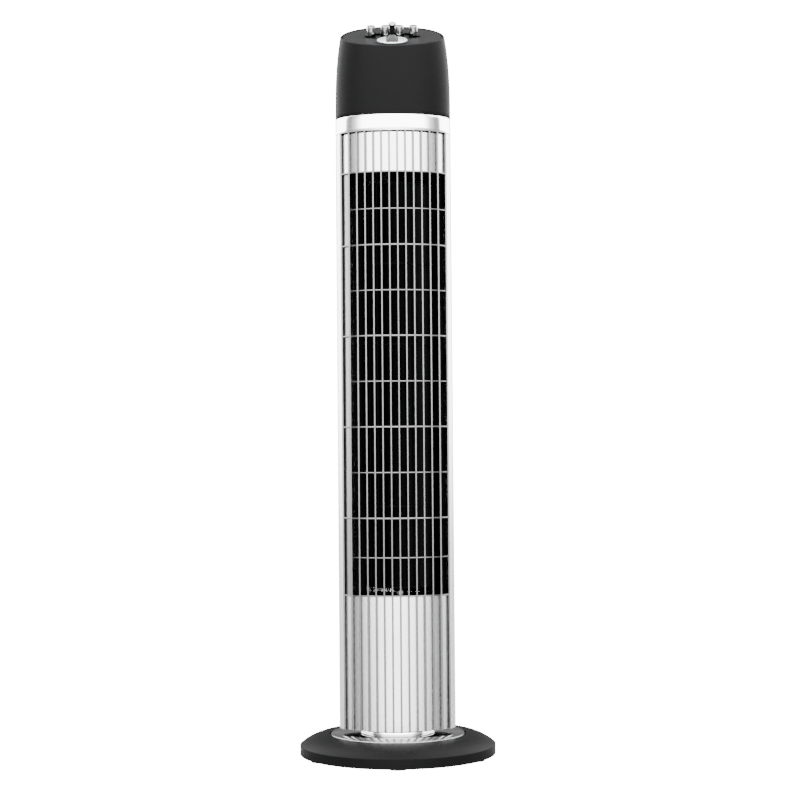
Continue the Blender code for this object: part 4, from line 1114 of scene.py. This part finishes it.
GLOSSY_GLOW = 12.0
DIFFUSE_GLOW = 4.0
BACKDROP_GLOW = 18.0
FLOOR_DIFFUSE_GLOW = 2.4
FLOOR_GLOSSY_GLOW = 6.0
FLOOR_SEEN_GLOW = 18.0
CEILING_GLOW = 0.6
CEILING_STOPS = ((0.72, 0.0), (0.95, 1.0))
WORLD_STOPS = (
    (0.0, 1.0), (0.22, 1.0), (0.32, 0.14), (0.38, 0.05), (0.445, 0.05),
    (0.47, 0.9), (0.78, 0.9), (0.88, 0.05), (1.0, 0.03),
)
FLOOR_STOPS = (
    (0.0, 1.0), (0.10, 0.75), (0.20, 0.30), (0.30, 0.09), (0.37, 0.02), (0.43, 0.02),
    (0.48, 0.15), (0.80, 0.22), (0.90, 0.06), (1.0, 0.03),
)
FLOOR_SIZE = 40
FLOOR_DROP = 0.2 * MM
FLOOR_TONE = 0.12
KEY_PLACE = (1.2, -0.4, 1.6)
KEY_TARGET = (0, 0, 0.3)
KEY_SIZE = 0.8
KEY_POWER = 12


def by_ray(tree, diffuse, glossy, seen):
    """One strength for soft light, another for what the fan mirrors, and a third for the plain backdrop."""
    rays = tree.nodes.new("ShaderNodeLightPath")
    inner = tree.nodes.new("ShaderNodeMix")
    inner.inputs["A"].default_value = diffuse
    tree.links.new(glossy, inner.inputs["B"])
    tree.links.new(rays.outputs["Is Glossy Ray"], inner.inputs["Factor"])
    outer = tree.nodes.new("ShaderNodeMix")
    tree.links.new(inner.outputs["Result"], outer.inputs["A"])
    outer.inputs["B"].default_value = seen
    tree.links.new(rays.outputs["Is Camera Ray"], outer.inputs["Factor"])
    return outer.outputs["Result"]


def math_node(tree, operation, *values):
    """A Math node whose inputs are each a number or another node's output."""
    node = tree.nodes.new("ShaderNodeMath")
    node.operation = operation
    for socket, value in zip(node.inputs, values):
        if isinstance(value, float):
            socket.default_value = value
        else:
            tree.links.new(value, socket)
    return node.outputs[0]


def grey_ramp(tree, source, stops):
    ramp = tree.nodes.new("ShaderNodeValToRGB")
    ramp.color_ramp.interpolation = "EASE"
    elements = ramp.color_ramp.elements
    while len(elements) < len(stops):
        elements.new(0.5)
    for element, (position, grey) in zip(elements, stops):
        element.position = position
        element.color = (grey, grey, grey, 1)
    tree.links.new(source, ramp.inputs["Fac"])
    return ramp.outputs["Color"]


def around_fan(tree, place, stops):
    """The grey of the stops for the side a place lies on, from 0 in front to 1 behind, and its height."""
    parts = tree.nodes.new("ShaderNodeSeparateXYZ")
    tree.links.new(place, parts.inputs["Vector"])
    side = math_node(tree, "ABSOLUTE", parts.outputs["X"])
    front = math_node(tree, "MULTIPLY", parts.outputs["Y"], -1.0)
    share = math_node(tree, "DIVIDE", math_node(tree, "ARCTAN2", side, front), math.pi)
    return grey_ramp(tree, share, stops), parts.outputs["Z"]


def make_floor():
    """A pale floor that the metal mirrors brightest straight in front of the fan."""
    begin()
    bpy.ops.mesh.primitive_plane_add(size=FLOOR_SIZE, location=(0, 0, -FLOOR_DROP))
    floor = bpy.context.object
    floor.name = "studio_floor"
    material, tree, shader = node_tree("studio_white")
    shader.inputs["Base Color"].default_value = (FLOOR_TONE, FLOOR_TONE, FLOOR_TONE, 1)
    shader.inputs["Roughness"].default_value = 0.9
    shader.inputs["Specular IOR Level"].default_value = 0.0
    shader.inputs["Emission Color"].default_value = (1, 1, 1, 1)
    place = tree.nodes.new("ShaderNodeTexCoord").outputs["Object"]
    around, _ = around_fan(tree, place, FLOOR_STOPS)
    glossy = math_node(tree, "MULTIPLY", around, FLOOR_GLOSSY_GLOW)
    glow = by_ray(tree, FLOOR_DIFFUSE_GLOW, glossy, FLOOR_SEEN_GLOW)
    tree.links.new(glow, shader.inputs["Emission Strength"])
    floor.data.materials.append(material)


def make_world():
    """A bright front, a dark strip and a bright one on each side, a dim back and a bright ceiling."""
    world = bpy.data.worlds.new("studio")
    bpy.context.scene.world = world
    world.use_nodes = True
    tree = world.node_tree
    back = tree.nodes["Background"]
    back.inputs["Color"].default_value = (1, 1, 1, 1)
    place = tree.nodes.new("ShaderNodeTexCoord").outputs["Generated"]
    around, height = around_fan(tree, place, WORLD_STOPS)
    above = grey_ramp(tree, height, CEILING_STOPS)
    shade = math_node(tree, "ADD", math_node(tree, "MULTIPLY", above, CEILING_GLOW), around)
    glossy = math_node(tree, "MULTIPLY", shade, GLOSSY_GLOW)
    tree.links.new(by_ray(tree, DIFFUSE_GLOW, glossy, BACKDROP_GLOW), back.inputs["Strength"])


def make_key_light():
    data = bpy.data.lights.new("key_light", "AREA")
    data.size = KEY_SIZE
    data.energy = KEY_POWER
    light = bpy.data.objects.new("key_light", data)
    bpy.context.scene.collection.objects.link(light)
    light.location = KEY_PLACE
    light.rotation_euler = (Vector(KEY_TARGET) - Vector(KEY_PLACE)).to_track_quat("-Z", "Y").to_euler()


make_camera()
make_floor()
make_world()
make_key_light()
make_cap()
make_panel()
make_buttons()
make_timer()
make_grip()
make_ring()
make_grille()
make_plates()
make_housing()
make_dome()
make_disc()
make_neck()
make_impeller()
finish_nodes()
begin()
